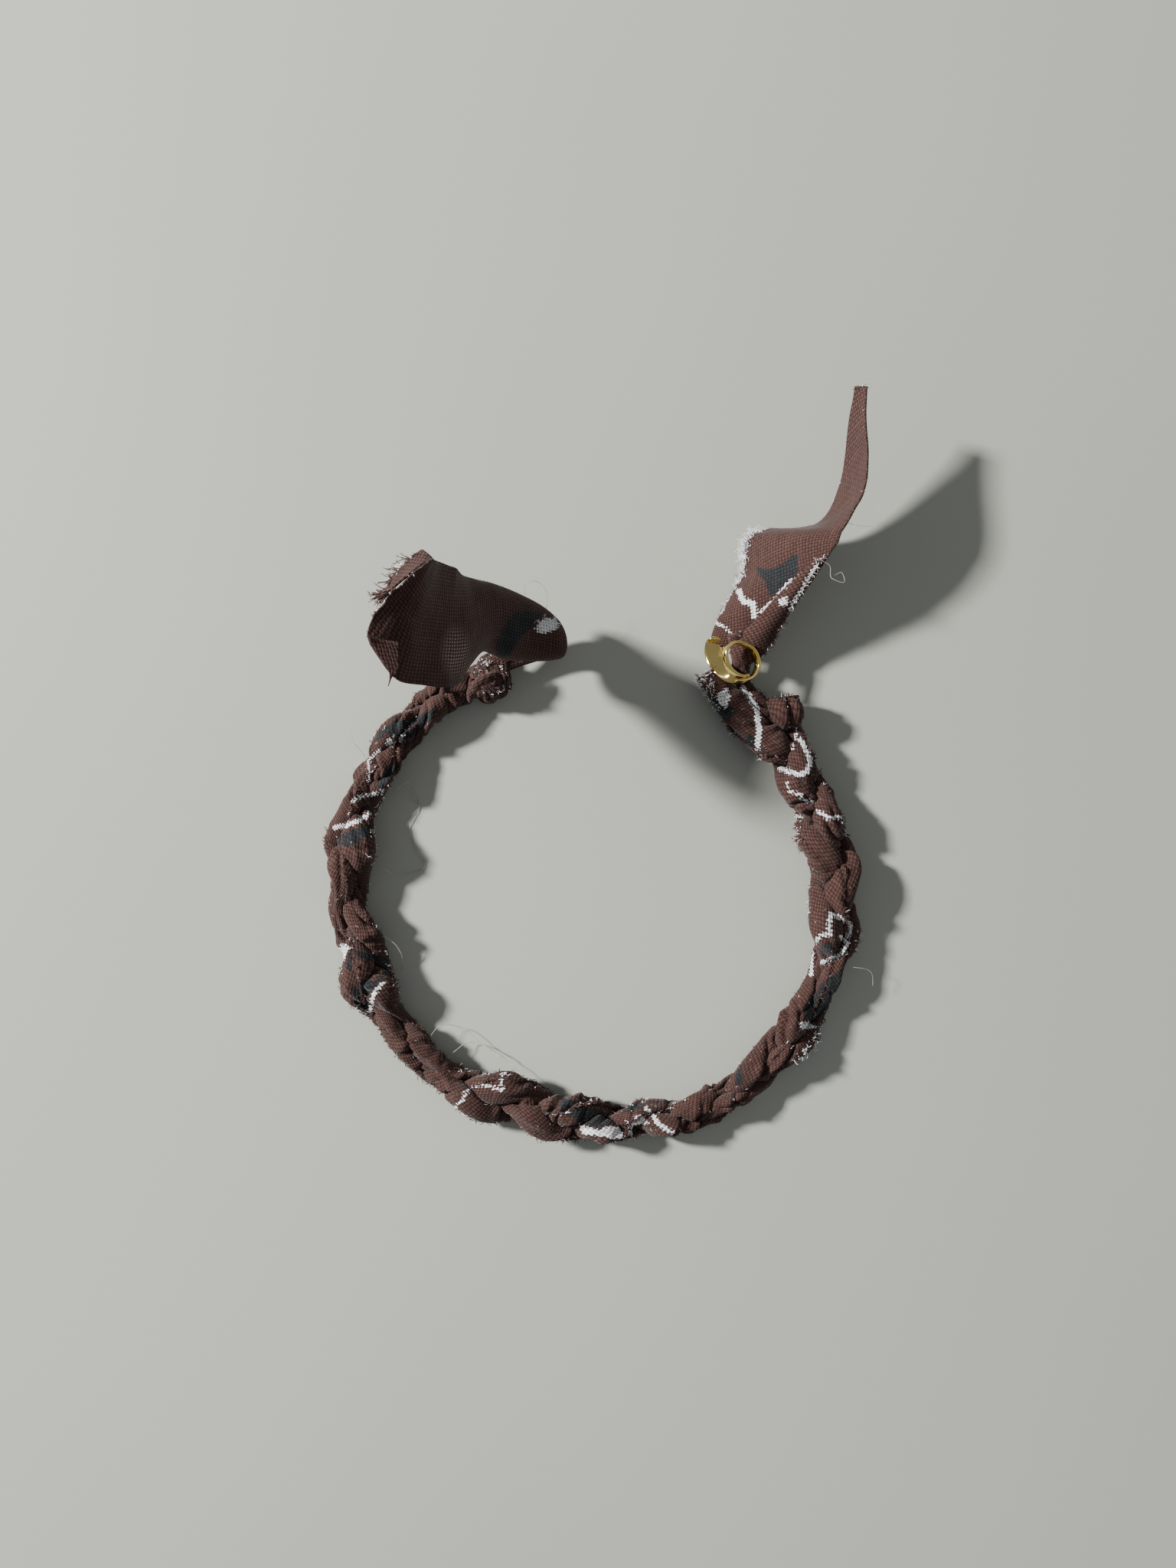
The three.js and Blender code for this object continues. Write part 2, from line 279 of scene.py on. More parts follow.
NAVY_PATCHES = [
    [(131.4, -1.4), (134.9, -0.9), (138.5, -0.1), (140.7, 1.5), (143.8, 2.2), (147.4, 2.3),
     (146.9, 1.8), (144.3, 1.3), (143.8, 0.5), (144.7, -0.9), (141.2, -1.9), (134.9, -2.2)],
    [(149.2, -1.9), (152.7, -1.2), (156.7, -1.0), (156.5, -1.9), (152.7, -2.4), (149.6, -2.6)],
    [(165.2, -2.2), (167.4, -0.3), (169.6, 1.5), (172.1, 2.5), (172.3, 0.5), (170.5, -1.1), (167.8, -2.3)],
    [(196.1, 0.7), (198.1, 0.5), (199.7, -0.7), (200.8, -1.9), (202.6, -2.4), (204.2, -1.8),
     (204.8, -0.3), (203.7, 0.5), (204.2, 2.5), (206.8, 3.5), (209.5, 3.1), (209.9, 2.5), (207.3, 1.0),
     (205.9, -0.3), (205.5, -1.4), (204.2, -3.2), (201.5, -3.5), (199.7, -2.7), (197.9, -0.9)],
    [(195.2, 0.7), (196.6, 1.5), (199.7, 2.4), (200.7, 1.9), (199.7, 1.5), (196.6, 0.9)],
    [(261.4, -2.2), (264.5, -0.9), (267.1, -0.1), (269.8, 0.5), (271.6, 0.7), (274.3, 0.2),
     (275.6, -0.3), (272.9, -1.4), (267.1, -2.7), (262.3, -3.5)],
    [(276.1, -1.4), (279.6, -1.1), (283.2, -1.5), (282.9, -2.2), (279.6, -2.3), (276.3, -2.0)],
    [(304.8, 1.1), (306.8, 1.4), (307.9, 0.2), (309.7, -1.1), (308.3, -1.2), (306.6, -0.3)],
    [(327.3, 2.9), (330.1, 3.4), (334.6, 3.5), (339.1, 3.5), (339.9, 2.9), (338.2, 2.1), (335.9, 1.3),
     (332.8, 1.0), (329.7, 0.7), (327.5, 1.0)],
    [(341.9, -0.2), (342.8, 1.0), (344.4, 1.5), (345.3, 0.9), (344.8, -0.2), (343.3, -0.7)],
    [(398.5, -4.3), (400.7, -3.6), (402.9, -4.0), (402.1, -5.1), (399.4, -5.2)],
    [(409.2, -3.0), (412.3, -2.8), (417.6, -3.2), (417.2, -5.1), (412.3, -5.3), (409.6, -4.6)],
]


def printed(points, upward, cloth, seed):
    """For each point: millimetres inside white and inside navy, and the light let through, none here."""
    angle, offset = seen_from_above(points)
    along = np.radians(angle) * BAND_RADIUS
    white = np.full(along.shape, NO_PRINT)
    navy = np.full(along.shape, NO_PRINT)
    flat = lambda line: [(math.radians(a) * BAND_RADIUS, r) for a, r in line]
    for width, line in WHITE_LINES:
        white = np.maximum(white, STROKE * width - distance_to_line(along, offset, flat(line)))
    for kind, patches in (("white", WHITE_PATCHES), ("navy", NAVY_PATCHES)):
        for line in patches:
            shape = flat(line)
            edge = distance_to_line(along, offset, shape + shape[:1])
            depth = np.where(inside_outline(along, offset, shape), edge, -edge)
            if kind == "white":
                white = np.maximum(white, depth)
            else:
                navy = np.maximum(navy, depth)
    blobs = noise2(cloth[..., 0] / 7 + seed * 3.1, cloth[..., 1] / 9, 50 + seed)
    hidden_navy = (blobs - 0.42) * 6
    hidden_white = 0.3 - np.abs(blobs - 0.34) * 7
    steep = 0.6 * (1 - ease(upward / 0.3))
    white = np.where(upward > 0, white - steep, hidden_white)
    navy = np.where(upward > 0, navy - steep, hidden_navy)
    return np.stack([white, navy, 0 * white], axis=-1)


# Materials


class Nodes:
    """Makes shader nodes in a few words."""

    def __init__(self, name):
        self.material = bpy.data.materials.new(name)
        self.material.use_nodes = True
        self.tree = self.material.node_tree
        self.tree.nodes.clear()

    def node(self, kind, **settings):
        n = self.tree.nodes.new(kind)
        for key, value in settings.items():
            setattr(n, key, value)
        return n

    def put(self, socket, value):
        if isinstance(value, bpy.types.NodeSocket):
            self.tree.links.new(value, socket)
        else:
            socket.default_value = value

    def math(self, operation, a, b=0.0, c=0.0):
        n = self.node("ShaderNodeMath", operation=operation)
        for socket, value in zip(n.inputs, (a, b, c)):
            self.put(socket, value)
        return n.outputs[0]

    def clamp(self, value, low, high):
        """0 at low and 1 at high, smooth between."""
        n = self.node("ShaderNodeMapRange", interpolation_type="SMOOTHSTEP")
        for socket, v in zip(n.inputs, (value, low, high, 0.0, 1.0)):
            self.put(socket, v)
        return n.outputs[0]

    def mix(self, share, a, b):
        n = self.node("ShaderNodeMix", data_type="RGBA")
        self.put(n.inputs[0], share)
        self.put(n.inputs[6], a)
        self.put(n.inputs[7], b)
        return n.outputs[2]

    def noise(self, vector, scale, detail=2.0):
        n = self.node("ShaderNodeTexNoise")
        self.put(n.inputs["Vector"], vector)
        self.put(n.inputs["Scale"], scale)
        self.put(n.inputs["Detail"], detail)
        return n.outputs[0]

    def combine(self, x, y, z=0.0):
        n = self.node("ShaderNodeCombineXYZ")
        for socket, value in zip(n.inputs, (x, y, z)):
            self.put(socket, value)
        return n.outputs[0]

    def separate(self, vector):
        n = self.node("ShaderNodeSeparateXYZ")
        self.put(n.inputs[0], vector)
        return n.outputs

    def bump(self, height, strength, distance):
        n = self.node("ShaderNodeBump")
        n.inputs["Strength"].default_value = strength
        n.inputs["Distance"].default_value = distance
        self.put(n.inputs["Height"], height)
        return n.outputs[0]

    def attribute(self, name):
        return self.node("ShaderNodeAttribute", attribute_name=name).outputs["Vector"]

    def place(self):
        return self.node("ShaderNodeTexCoord").outputs["Object"]

    def finish(self, **sockets):
        shader = self.node("ShaderNodeBsdfPrincipled")
        for key, value in sockets.items():
            self.put(shader.inputs[key.replace("_", " ")], value)
        out = self.node("ShaderNodeOutputMaterial")
        self.tree.links.new(shader.outputs[0], out.inputs[0])
        return self.material


BROWN = (0.033, 0.0142, 0.011, 1.0)
BROWN_LIGHT = (0.092, 0.0415, 0.0325, 1.0)
LIGHT_BEHIND = (0.36, 0.31, 0.27, 1.0)  # seen through the gaps of a single layer
NAVY = (0.008, 0.0095, 0.0105, 1.0)
NAVY_LIGHT = (0.024, 0.027, 0.029, 1.0)
WHITE = (0.62, 0.61, 0.62, 1.0)
WHITE_LIGHT = (0.9, 0.89, 0.9, 1.0)
# painted shade: the colour put in the hollows between threads
GAP_SHADE = (0.012, 0.006, 0.005, 1.0)
BROWN_FADED = (0.05, 0.022, 0.017, 1.0)


def cloth_material(name):
    """Printed plain-weave cotton: threads in relief, crests lighter partly from wear and partly as a
    painted highlight, hollows between threads in painted shade, printed from one side.
    """
    n = Nodes(name)
    u, v, _ = n.separate(n.attribute("cloth"))
    place = n.place()
    wander = n.math("SUBTRACT", n.noise(place, 900.0), 0.5)
    across = n.math("MULTIPLY_ADD", wander, 0.55, n.math("DIVIDE", u, WARP))
    along = n.math("MULTIPLY_ADD", wander, 0.55, n.math("DIVIDE", v, WEFT))
    sin_u = n.math("SINE", n.math("MULTIPLY", across, math.pi))
    sin_v = n.math("SINE", n.math("MULTIPLY", along, math.pi))
    over = n.math("MULTIPLY", sin_u, sin_v)
    warp = n.math("MULTIPLY", n.math("ABSOLUTE", sin_u), n.math("MULTIPLY_ADD", over, 0.4, 0.6))
    weft = n.math("MULTIPLY", n.math("ABSOLUTE", sin_v), n.math("MULTIPLY_ADD", over, -0.4, 0.6))
    height = n.math("MAXIMUM", warp, weft)
    warp_thread = n.combine(n.math("FLOOR", across), n.math("MULTIPLY", along, 0.12), 3.0)
    weft_thread = n.combine(n.math("MULTIPLY", across, 0.12), n.math("FLOOR", along), 9.0)
    thread = n.math("MAXIMUM", n.noise(warp_thread, 0.73), n.noise(weft_thread, 0.67))
    fibres = n.noise(place, 9000.0, 3.0)
    lit = n.math("MULTIPLY_ADD", over, 0.16, n.math("POWER", height, 1.6))
    crest = n.math("MULTIPLY_ADD", lit, 0.85, n.math("MULTIPLY_ADD", thread, 1.0, -0.62))
    crest = n.clamp(n.math("MULTIPLY_ADD", fibres, 0.3, crest), 0.15, 0.95)
    white_depth, navy_depth, see_through = n.separate(n.attribute("print"))
    ragged = n.math("MULTIPLY", n.math("SUBTRACT", n.noise(place, 2200.0), 0.5), 0.8)
    ragged = n.math("MULTIPLY_ADD", n.math("SUBTRACT", height, 0.6), 0.35, ragged)
    white = n.clamp(n.math("ADD", white_depth, ragged), -0.06, 0.1)
    navy = n.clamp(n.math("ADD", navy_depth, ragged), -0.06, 0.1)
    patchy = n.clamp(n.noise(place, 260.0), 0.3, 0.75)
    # raised threads take the lighter colours, partly as wear and partly as a painted highlight on the
    # crests; the same holds for navy and white
    brown = n.mix(crest, BROWN, BROWN_LIGHT)
    brown = n.mix(n.math("MULTIPLY", patchy, 0.35), brown, BROWN_FADED)
    colour = n.mix(navy, brown, n.mix(crest, NAVY, NAVY_LIGHT))
    colour = n.mix(white, colour, n.mix(crest, WHITE, WHITE_LIGHT))
    # painted shade darkens the hollows between the threads
    gap = n.math("SUBTRACT", 1.0, n.clamp(height, 0.12, 0.5))
    colour = n.mix(n.math("MULTIPLY", gap, 0.7), colour, GAP_SHADE)
    hole = n.math("MULTIPLY", see_through, n.math("SUBTRACT", 1.0, n.clamp(height, 0.3, 0.46)))
    colour = n.mix(hole, colour, LIGHT_BEHIND)
    relief = n.math("MULTIPLY_ADD", fibres, 0.25, height)
    rough = n.math("MULTIPLY_ADD", crest, -0.12, 0.95)
    return n.finish(Base_Color=colour, Roughness=rough, Normal=n.bump(relief, 0.8, 0.00011),
                    Specular_IOR_Level=0.25, Sheen_Weight=0.13, Sheen_Roughness=0.45)


def thread_material(name, dark, light):
    """Loose cotton thread: twisted plies and colour that changes from thread to thread."""
    n = Nodes(name)
    place = n.place()
    shade = n.clamp(n.noise(place, 1500.0), 0.3, 0.75)
    fibres = n.noise(place, 12000.0)
    colour = n.mix(shade, dark, light)
    rough = n.math("MULTIPLY_ADD", fibres, 0.2, 0.75)
    return n.finish(Base_Color=colour, Roughness=rough, Normal=n.bump(fibres, 0.5, 0.00004),
                    Sheen_Weight=0.3)


def brass_material():
    n = Nodes("polished_brass")
    place = n.place()
    tone = n.noise(place, 500.0)
    scratches = n.noise(place, 6000.0, 4.0)
    colour = n.mix(tone, (0.82, 0.58, 0.16, 1.0), (0.93, 0.74, 0.3, 1.0))
    rough = n.math("MULTIPLY_ADD", scratches, 0.12, 0.08)
    return n.finish(Base_Color=colour, Roughness=rough, Normal=n.bump(scratches, 0.08, 0.00002),
                    Metallic=1.0)


def floor_material():
    n = Nodes("pale_paint")
    place = n.place()
    tone = n.clamp(n.noise(place, 6.0), 0.3, 0.7)
    colour = n.mix(tone, (0.4, 0.405, 0.352, 1.0), (0.42, 0.425, 0.372, 1.0))
    return n.finish(Base_Color=colour, Roughness=0.8, Specular_IOR_Level=0.2)


# Threads, sheets and the meshes that hold them

THIN = 0.26  # thickness of the cotton


HAIR_SAG = 0.25  # how far a loose thread turns down over its length
HAIR_STEPS = 7
HAIR_SIDES = 4


def hairs(roots, ways, lengths, thick, rng, curl):
    """Many short bent threads as one set of closed tubes: points and faces."""
    n = len(roots)
    sag, steps, sides = HAIR_SAG, HAIR_STEPS, HAIR_SIDES
    ways = unit(np.asarray(ways, float))
    bend = rng.normal(0, curl, (n, 3))
    places = [np.asarray(roots, float)]
    aims = [ways]
    for i in range(1, steps):
        wander = rng.normal(0, curl * 0.35, (n, 3))
        ways = unit(ways + bend / steps + wander - np.array([0, 0, sag / steps]))
        place = places[-1] + ways * (np.asarray(lengths) / (steps - 1))[:, None]
        place[:, 2] = np.maximum(place[:, 2], FLOOR + 0.06)
        places.append(place)
        aims.append(ways)
    path = np.stack(places, 1)
    aim = unit(np.gradient(path, axis=1))
    side = unit(np.cross(aim, [0.31, 0.17, 0.94]))
    up = np.cross(side, aim)
    around = 2 * np.pi * np.arange(sides) / sides
    radius = (np.asarray(thick) / 2)[:, None] * np.linspace(1, 0.45, steps)
    across, over = np.cos(around)[:, None], np.sin(around)[:, None]
    ring = side[:, :, None] * across + up[:, :, None] * over
    points = path[:, :, None] + ring * radius[:, :, None, None]
    faces = []
    for h in range(n):
        start = h * steps * sides
        for i in range(steps - 1):
            for j in range(sides):
                k = (j + 1) % sides
                a = start + i * sides
                faces.append((a + j, a + sides + j, a + sides + k, a + k))
        faces.append(tuple(start + j for j in range(sides)))
        faces.append(tuple(start + (steps - 1) * sides + j for j in reversed(range(sides))))
    return points.reshape(-1, 3), faces


def sheet_normals(points):
    return unit(np.cross(np.gradient(points, axis=0), np.gradient(points, axis=1)))


class Bundle:
    """Gathers several closed skins into one mesh."""

    def __init__(self):
        self.points, self.faces, self.cloth, self.marks = [], [], [], []
        self.count = 0

    def add(self, points, faces, cloth=None, marks=None):
        points = np.asarray(points, float).reshape(-1, 3)
        zero = np.tile([0.0, 0.0, 0.0], (len(points), 1))
        self.points.append(points)
        self.faces += [tuple(i + self.count for i in face) for face in faces]
        self.cloth.append(zero if cloth is None else np.asarray(cloth).reshape(-1, 3))
        self.marks.append(zero + NO_PRINT if marks is None else np.asarray(marks).reshape(-1, 3))
        self.count += len(points)

    def make(self, name, material):
        return make_object(name, np.concatenate(self.points), self.faces, material,
                           cloth=np.concatenate(self.cloth), print=np.concatenate(self.marks))

    def add_threads(self, roots, ways, lengths, thick, tones, rng, curl=1.6):
        """Loose threads. A tone is 0 for brown, 1 for white, 2 for navy, 3 for washed-out brown."""
        points, faces = hairs(roots, ways, lengths, thick, rng, curl)
        per = len(points) // len(roots)
        crest = rng.integers(0, 60, (len(roots), 2)) + 0.5 + rng.uniform(-0.2, 0.2, (len(roots), 2))
        cloth = np.concatenate([crest * [WARP, WEFT], np.zeros((len(roots), 1))], axis=1)
        cloth = np.repeat(cloth, per, axis=0)
        tones = np.repeat(np.asarray(tones), per)
        white = np.where(tones == 1, 0.4, np.where(tones == 3, -0.19, NO_PRINT))
        marks = np.stack([white, np.where(tones == 2, 0.4, NO_PRINT), tones * 0], axis=1)
        self.add(points, faces, cloth, marks)

    def add_sheet(self, points, cloth, marks, thick=THIN):
        """Both faces of a sheet and its rim."""
        normal = sheet_normals(points) * thick / 2
        n, m = points.shape[:2]
        size = n * m
        index = np.arange(size).reshape(n, m)
        faces = []
        for a, b, c, d in zip(index[:-1, :-1].ravel(), index[1:, :-1].ravel(),
                              index[1:, 1:].ravel(), index[:-1, 1:].ravel()):
            faces.append((a, b, c, d))
            faces.append((d + size, c + size, b + size, a + size))
        rim = [*index[0, :-1], *index[:-1, -1], *index[-1, :0:-1], *index[:0:-1, 0]]
        for a, b in zip(rim, rim[1:] + rim[:1]):
            faces.append((a, b, b + size, a + size))
        both = np.stack([points + normal, points - normal])
        both[..., 2] = np.maximum(both[..., 2], FLOOR)
        marks = np.stack([marks, marks])
        marks[0, ..., 2] *= normal[..., 2] > 0  # light through the weave shows from above only
        marks[1, ..., 2] *= normal[..., 2] < 0
        self.add(both, faces, np.stack([cloth, cloth]), marks)


# Strands

# How far round the band the crossings are shifted: (angle, degrees)
DRIFT = [(125, 0.0), (165, 2.0), (183, 3.7), (201, 6.5), (218, 4.5), (236, 8.0), (254, 9.0),
         (271, 8.5), (289, 4.5), (306, 0.5), (324, -1.0), (342, 3.5), (359, 6.0), (380, 4.0), (399, 0.0)]

# The band's own unevenness: (angle, middle of its width beyond the middle line, width)
BAND_SHAPE = [
    (112, -1.2, 6.0), (125, -1.2, 5.4), (135, -0.7, 4.7), (145, -0.3, 5.4), (151, -0.7, 4.6),
    (157, 0.1, 5.1), (165, 0.1, 5.4), (172, 0.6, 7.9), (181, -0.3, 5.3), (187, 0.3, 5.7),
    (192, -0.2, 5.9), (199, -0.4, 7.1), (206, 0.4, 8.2), (212, 0.3, 4.7), (221, -0.3, 5.7),
    (228, 0.4, 4.7), (235, 0.3, 4.0), (241, -0.3, 6.7), (247, -1.2, 7.2), (251, -1.2, 5.8),
    (257, -0.9, 6.8), (265, -0.4, 6.2), (271, -0.3, 5.8), (275, 0.2, 4.9), (279, 0.4, 3.7),
    (284, 0.1, 5.3), (290, 1.2, 5.1), (296, 1.6, 5.2), (302, 1.6, 4.4), (309, 1.5, 5.3),
    (322, 1.5, 6.2), (330, 1.4, 5.6), (336, 1.4, 4.9), (342, 1.0, 4.9), (349, 0.8, 7.4),
    (354, -0.1, 6.5), (362, -0.1, 7.3), (370, -1.0, 7.4), (379, -1.5, 6.0), (386, -1.7, 7.1),
    (391, -1.5, 5.8), (398, -1.0, 7.2), (406, -1.0, 7.6),
]
FULL_WIDTH = 7.4  # width of the band where its strands have their full thickness


def band_shape(angles):
    """Middle and width of the band over the ground, and how full its strands are there."""
    at, middle, width = zip(*BAND_SHAPE)
    soft = angles[..., None] + np.array([-1.6, -0.8, 0.0, 0.8, 1.6])
    middle = np.interp(soft, at, middle).mean(-1)
    width = np.interp(soft, at, width).mean(-1)
    return middle, width, width / FULL_WIDTH


def braid_line(strand, angles):
    """Middle of a strand at angles round the band. The crossings drift as a hand-made braid's do."""
    drift = np.interp(angles, *zip(*DRIFT))
    middle, _, full = band_shape(angles)
    along = np.radians(angles - BAND_END - drift) * BAND_RADIUS
    phase = 2 * np.pi * along / BRAID_PERIOD + 2 * np.pi * strand / 3
    radius = BAND_RADIUS + middle + SWING * full * np.sin(phase)
    height = (BRAID_HEIGHT + RISE * np.sin(2 * phase)) * np.sqrt(full)
    turn = np.radians(angles)
    shrink = 1 - height / EYE[2]
    x = EYE[0] + (radius * np.cos(turn) - EYE[0]) * shrink
    y = EYE[1] + (radius * np.sin(turn) - EYE[1]) * shrink
    return np.stack([x, y, height], axis=1)


LEFT_ENDS = [
    [(-12.6, 28.2, 3.9), (-14.6, 27.4, 4.3)],
    [(-12.8, 28.6, 2.9), (-14.8, 27.2, 3.0)],
    [(-12.2, 27.4, 3.0), (-14.4, 26.6, 3.0)],
]
RIGHT_ENDS = [
    [(21.8, 24.9, 2.8), (20.6, 27.2, 2.3), (20.1, 30.4, 3.7), (19.2, 33.6, 5.2)],
    [(26.2, 22.8, 3.9), (25.8, 24.9, 3.9)],
    [(19.8, 23.2, 3.5), (17.4, 26.0, 3.5), (15.7, 28.4, 3.3)],
]


def strand_line(strand):
    """(points, steps of length, angle round the band) of a whole strand."""
    angles = np.linspace(BAND_START, BAND_END, 140)
    braid = braid_line(strand, angles)
    line = np.concatenate([LEFT_ENDS[strand], braid, RIGHT_ENDS[strand]])
    points, at = evenly(spline(line, 8), STEP)
    return points, at, band_angle(points[:, 0], points[:, 1])


def frames(points):
    """Directions along, sideways and up for each point of a line."""
    along = unit(np.gradient(points, axis=0))
    side = unit(np.cross(along, [0.0, 0.0, 1.0]))
    return along, side, np.cross(side, along)


def crowded(own, rays, radius, others):
    """How far each ray goes before it is nearer to another strand than to its own."""
    squash = np.array([1.0, 1.0, HALF_WIDTH / HALF_HEIGHT])
    line = own * squash
    rays = rays * squash
    length = (rays ** 2).sum(-1)
    window = np.arange(-15, 16)
    near = []
    for other in others:
        o = other * squash
        nearest = np.argmin(((line[:, None] - o[None]) ** 2).sum(-1), axis=1)
        near.append(o[np.clip(nearest[:, None] + window, 0, len(o) - 1)])
    near = np.concatenate(near, axis=1)

    def is_crowded(r):
        p = line[:, None] + rays * r[..., None]
        best = np.full(r.shape, 1e9)
        for k in range(near.shape[1]):
            best = np.minimum(best, ((p - near[:, None, k]) ** 2).sum(-1))
        return best < 0.94 * r * r * length

    low = radius * 0.3
    high = radius.copy()
    hit = is_crowded(high)
    for _ in range(6):
        middle = (low + high) / 2
        inside = is_crowded(middle)
        high = np.where(inside, middle, high)
        low = np.where(inside, low, middle)
    return np.where(hit, low, radius)


def creases(at, arc, rng, count):
    """Relief of sharp folds laid at random over a strand, mostly along it."""
    relief = np.zeros(arc.shape)
    length = at[-1]
    ring = arc.max()
    for _ in range(count):
        s0 = rng.uniform(0, length)
        c0 = rng.uniform(0, ring)
        turn = rng.normal(0.45, 0.55)
        depth = rng.uniform(0.2, 0.75) ** 1.2
        reach = rng.uniform(1.3, 3.2)
        ds = at[:, None] - s0
        dc = (arc - c0 + ring / 2) % ring - ring / 2
        a = ds * math.cos(turn) + dc * math.sin(turn)
        b = dc * math.cos(turn) - ds * math.sin(turn) + 0.14 * a * a * rng.choice([-1, 1])
        fade = np.exp(-(a / reach) ** 2) * (np.abs(ds) < 9)
        ridge = np.exp(-((b - 0.7 - 0.3 * depth) / (0.45 + 0.3 * depth)) ** 2)
        relief += fade * depth * (0.7 * ridge - np.exp(-(b / (0.2 + 0.16 * depth)) ** 2))
    return np.clip(relief, -0.75, 0.6)


def strand_surface(line, at, others, seed, width=1.0, ends=(1.0, 1.0), edge_turn=0.13, edge_start=1.0,
                   neck=5.0, full=1.0):
    """A rolled strip round a line: a closed skin with the torn edge as a step along it.

    Returns points, cloth coordinates and how much each point is pressed by the other strands."""
    rng = np.random.default_rng(seed)
    _, side, up = frames(line)
    lip = 5  # columns of the groove under the strip's edge
    columns = AROUND - lip
    overlap = 0.32  # radians by which the rolled strip laps over its own start
    turn = np.linspace(0, 2 * np.pi + overlap, columns)
    back = np.linspace(2 * np.pi + overlap, 2 * np.pi, lip + 1)[1:]
    turns = np.concatenate([turn, back])
    share = turns / (2 * np.pi)
    thick = np.where(np.arange(AROUND) < columns, 1.08 - 0.15 * share, 0.965 - 0.1 * (1.05 - share))
    thick[-1] = 0.955
    edge = edge_start + edge_turn * at + 0.5 * noise2(at / 9, at * 0, seed + 5)
    section = edge[:, None] + turns
    full = np.clip(full + 0 * at, 0.62, 1.1)[:, None]
    flatness = np.cos(section) / (HALF_WIDTH * full), np.sin(section) / (HALF_HEIGHT * np.sqrt(full))
    ellipse = 1 / np.hypot(*flatness)
    swell = 1 + 0.14 * noise2(at / 4.5, at * 0, seed)[:, None]
    if others:
        swell = swell + 0.14 * (line[:, 2:] - BRAID_HEIGHT) / RISE
    swell = swell + 0.1 * noise2(section * 1.2, at[:, None] / 4 + 0 * section, seed + 1)
    radius = ellipse * swell * width
    last = at[-1]
    stations = [0, 3, last - neck, last - 0.55 * neck, last]
    taper = np.interp(at, stations, [ends[0], 1, 1, (1 + 3 * ends[1]) / 4, ends[1]])
    radius = radius * taper[:, None]
    rays = side[:, None] * np.cos(section)[..., None] + up[:, None] * np.sin(section)[..., None]
    free = radius
    if others:
        radius = crowded(line, rays, radius, others)
    pressed = ease((free - radius) / 0.5)
    radius = smooth_rows(radius, 3)
    arc = turns[None] * HALF_WIDTH * 0.92 + 0 * radius
    relief = creases(at, arc, rng, int(last / 0.95))
    pleats = 1 - 2 * np.abs(noise2(arc / 1.5 + seed, at[:, None] / 7 + 0 * arc, seed + 2))
    relief += 0.1 * pleats * taper[:, None]
    relief += 0.05 * noise2(arc / 0.9, at[:, None] / 0.9 + 0 * arc, seed + 3)
    relief *= 1 - 0.5 * pressed
    radius = (radius + relief * np.minimum(1, taper)[:, None]) * thick
    points = line[:, None] + rays * radius[..., None]
    points[..., 2] = np.maximum(points[..., 2], FLOOR + 0.03 * noise2(arc, at[:, None] + 0 * arc, seed + 4))
    drift = 0.45 * at + 2.2 * noise2(at / 11, at * 0, seed + 6)
    cloth = np.stack([arc + drift[:, None], at[:, None] - 0.42 * arc,
                      np.full(arc.shape, float(seed))], axis=-1)
    return points, cloth, pressed


def grid_normals(points):
    run = np.gradient(points, axis=0)
    span = np.roll(points, -1, 1) - np.roll(points, 1, 1)
    return unit(np.cross(run, span))


def strand_object(name, points, cloth, material, seed, threads=()):
    rows, around = points.shape[:2]
    upward = smooth_rows(grid_normals(points)[..., 2], 8)
    marks = printed(points, upward, cloth, seed)
    caps = np.stack([points[0].mean(0), points[-1].mean(0)])
    flat = lambda grid, ends: np.concatenate([grid.reshape(-1, 3), ends])
    ends = np.stack([cloth[0].mean(0), cloth[-1].mean(0)])
    dark = np.stack([marks[0].mean(0), marks[-1].mean(0)])
    bundle = Bundle()
    bundle.add(flat(points, caps), tube_faces(rows, around), flat(cloth, ends), flat(marks, dark))
    for bunch in threads:
        bundle.add_threads(*bunch)
    return bundle.make(name, material)


def bend_at(obj):
    """Bakes the placement of a piece that runs round the band into its mesh."""
    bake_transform(obj)


def some_white(rng, count, share):
    """Tones of threads of which a share is white and the rest brown."""
    return np.where(rng.uniform(0, 1, count) < share, 1, 0)


def torn_edge(points, pressed, rows, seed, white):
    """Threads that stand out of a strip's torn edge where nothing lies on it."""
    rng = np.random.default_rng(seed)
    edge = points[rows, 0]
    out = unit(points[rows, 0] - points[rows, 3])
    away = unit(grid_normals(points)[rows, 0])
    free = np.flatnonzero((pressed[rows, 0] < 0.35) & (edge[:, 2] > 0.5))
    pick = rng.choice(free, int(len(free) * 1.8))
    tuft = ease(noise2(pick / 22, pick * 0.0, seed) * 1.2 + 0.35)
    jitter = rng.normal(0, 1, (len(pick), 3))
    roots = edge[pick] - out[pick] * 0.12 + jitter * 0.08
    ways = out[pick] + away[pick] * rng.uniform(-0.1, 0.9, (len(pick), 1)) + jitter * 0.35
    lengths = rng.uniform(0.25, 0.6, len(pick)) + 0.6 * tuft * rng.uniform(0.1, 1, len(pick))
    thick = rng.uniform(0.08, 0.17, len(pick))
    tones = some_white(rng, len(pick), white)
    return roots, ways, lengths, thick, tones, rng


def fuzz(points, pressed, rows, seed, count):
    """Fine fibres all over the open surface."""
    rng = np.random.default_rng(seed)
    away = grid_normals(points)[rows].reshape(-1, 3)
    grid = points[rows].reshape(-1, 3)
    free = np.flatnonzero((pressed[rows].ravel() < 0.2) & (grid[:, 2] > 0.5))
    pick = rng.choice(free, count)
    jitter = rng.normal(0, 1, (count, 3))
    roots = grid[pick] - away[pick] * 0.05
    ways = away[pick] + jitter * 0.7
    lengths = rng.uniform(0.25, 0.8, count)
    thick = rng.uniform(0.03, 0.05, count)
    tones = some_white(rng, count, 0.12)
    return roots, ways, lengths, thick, tones, rng


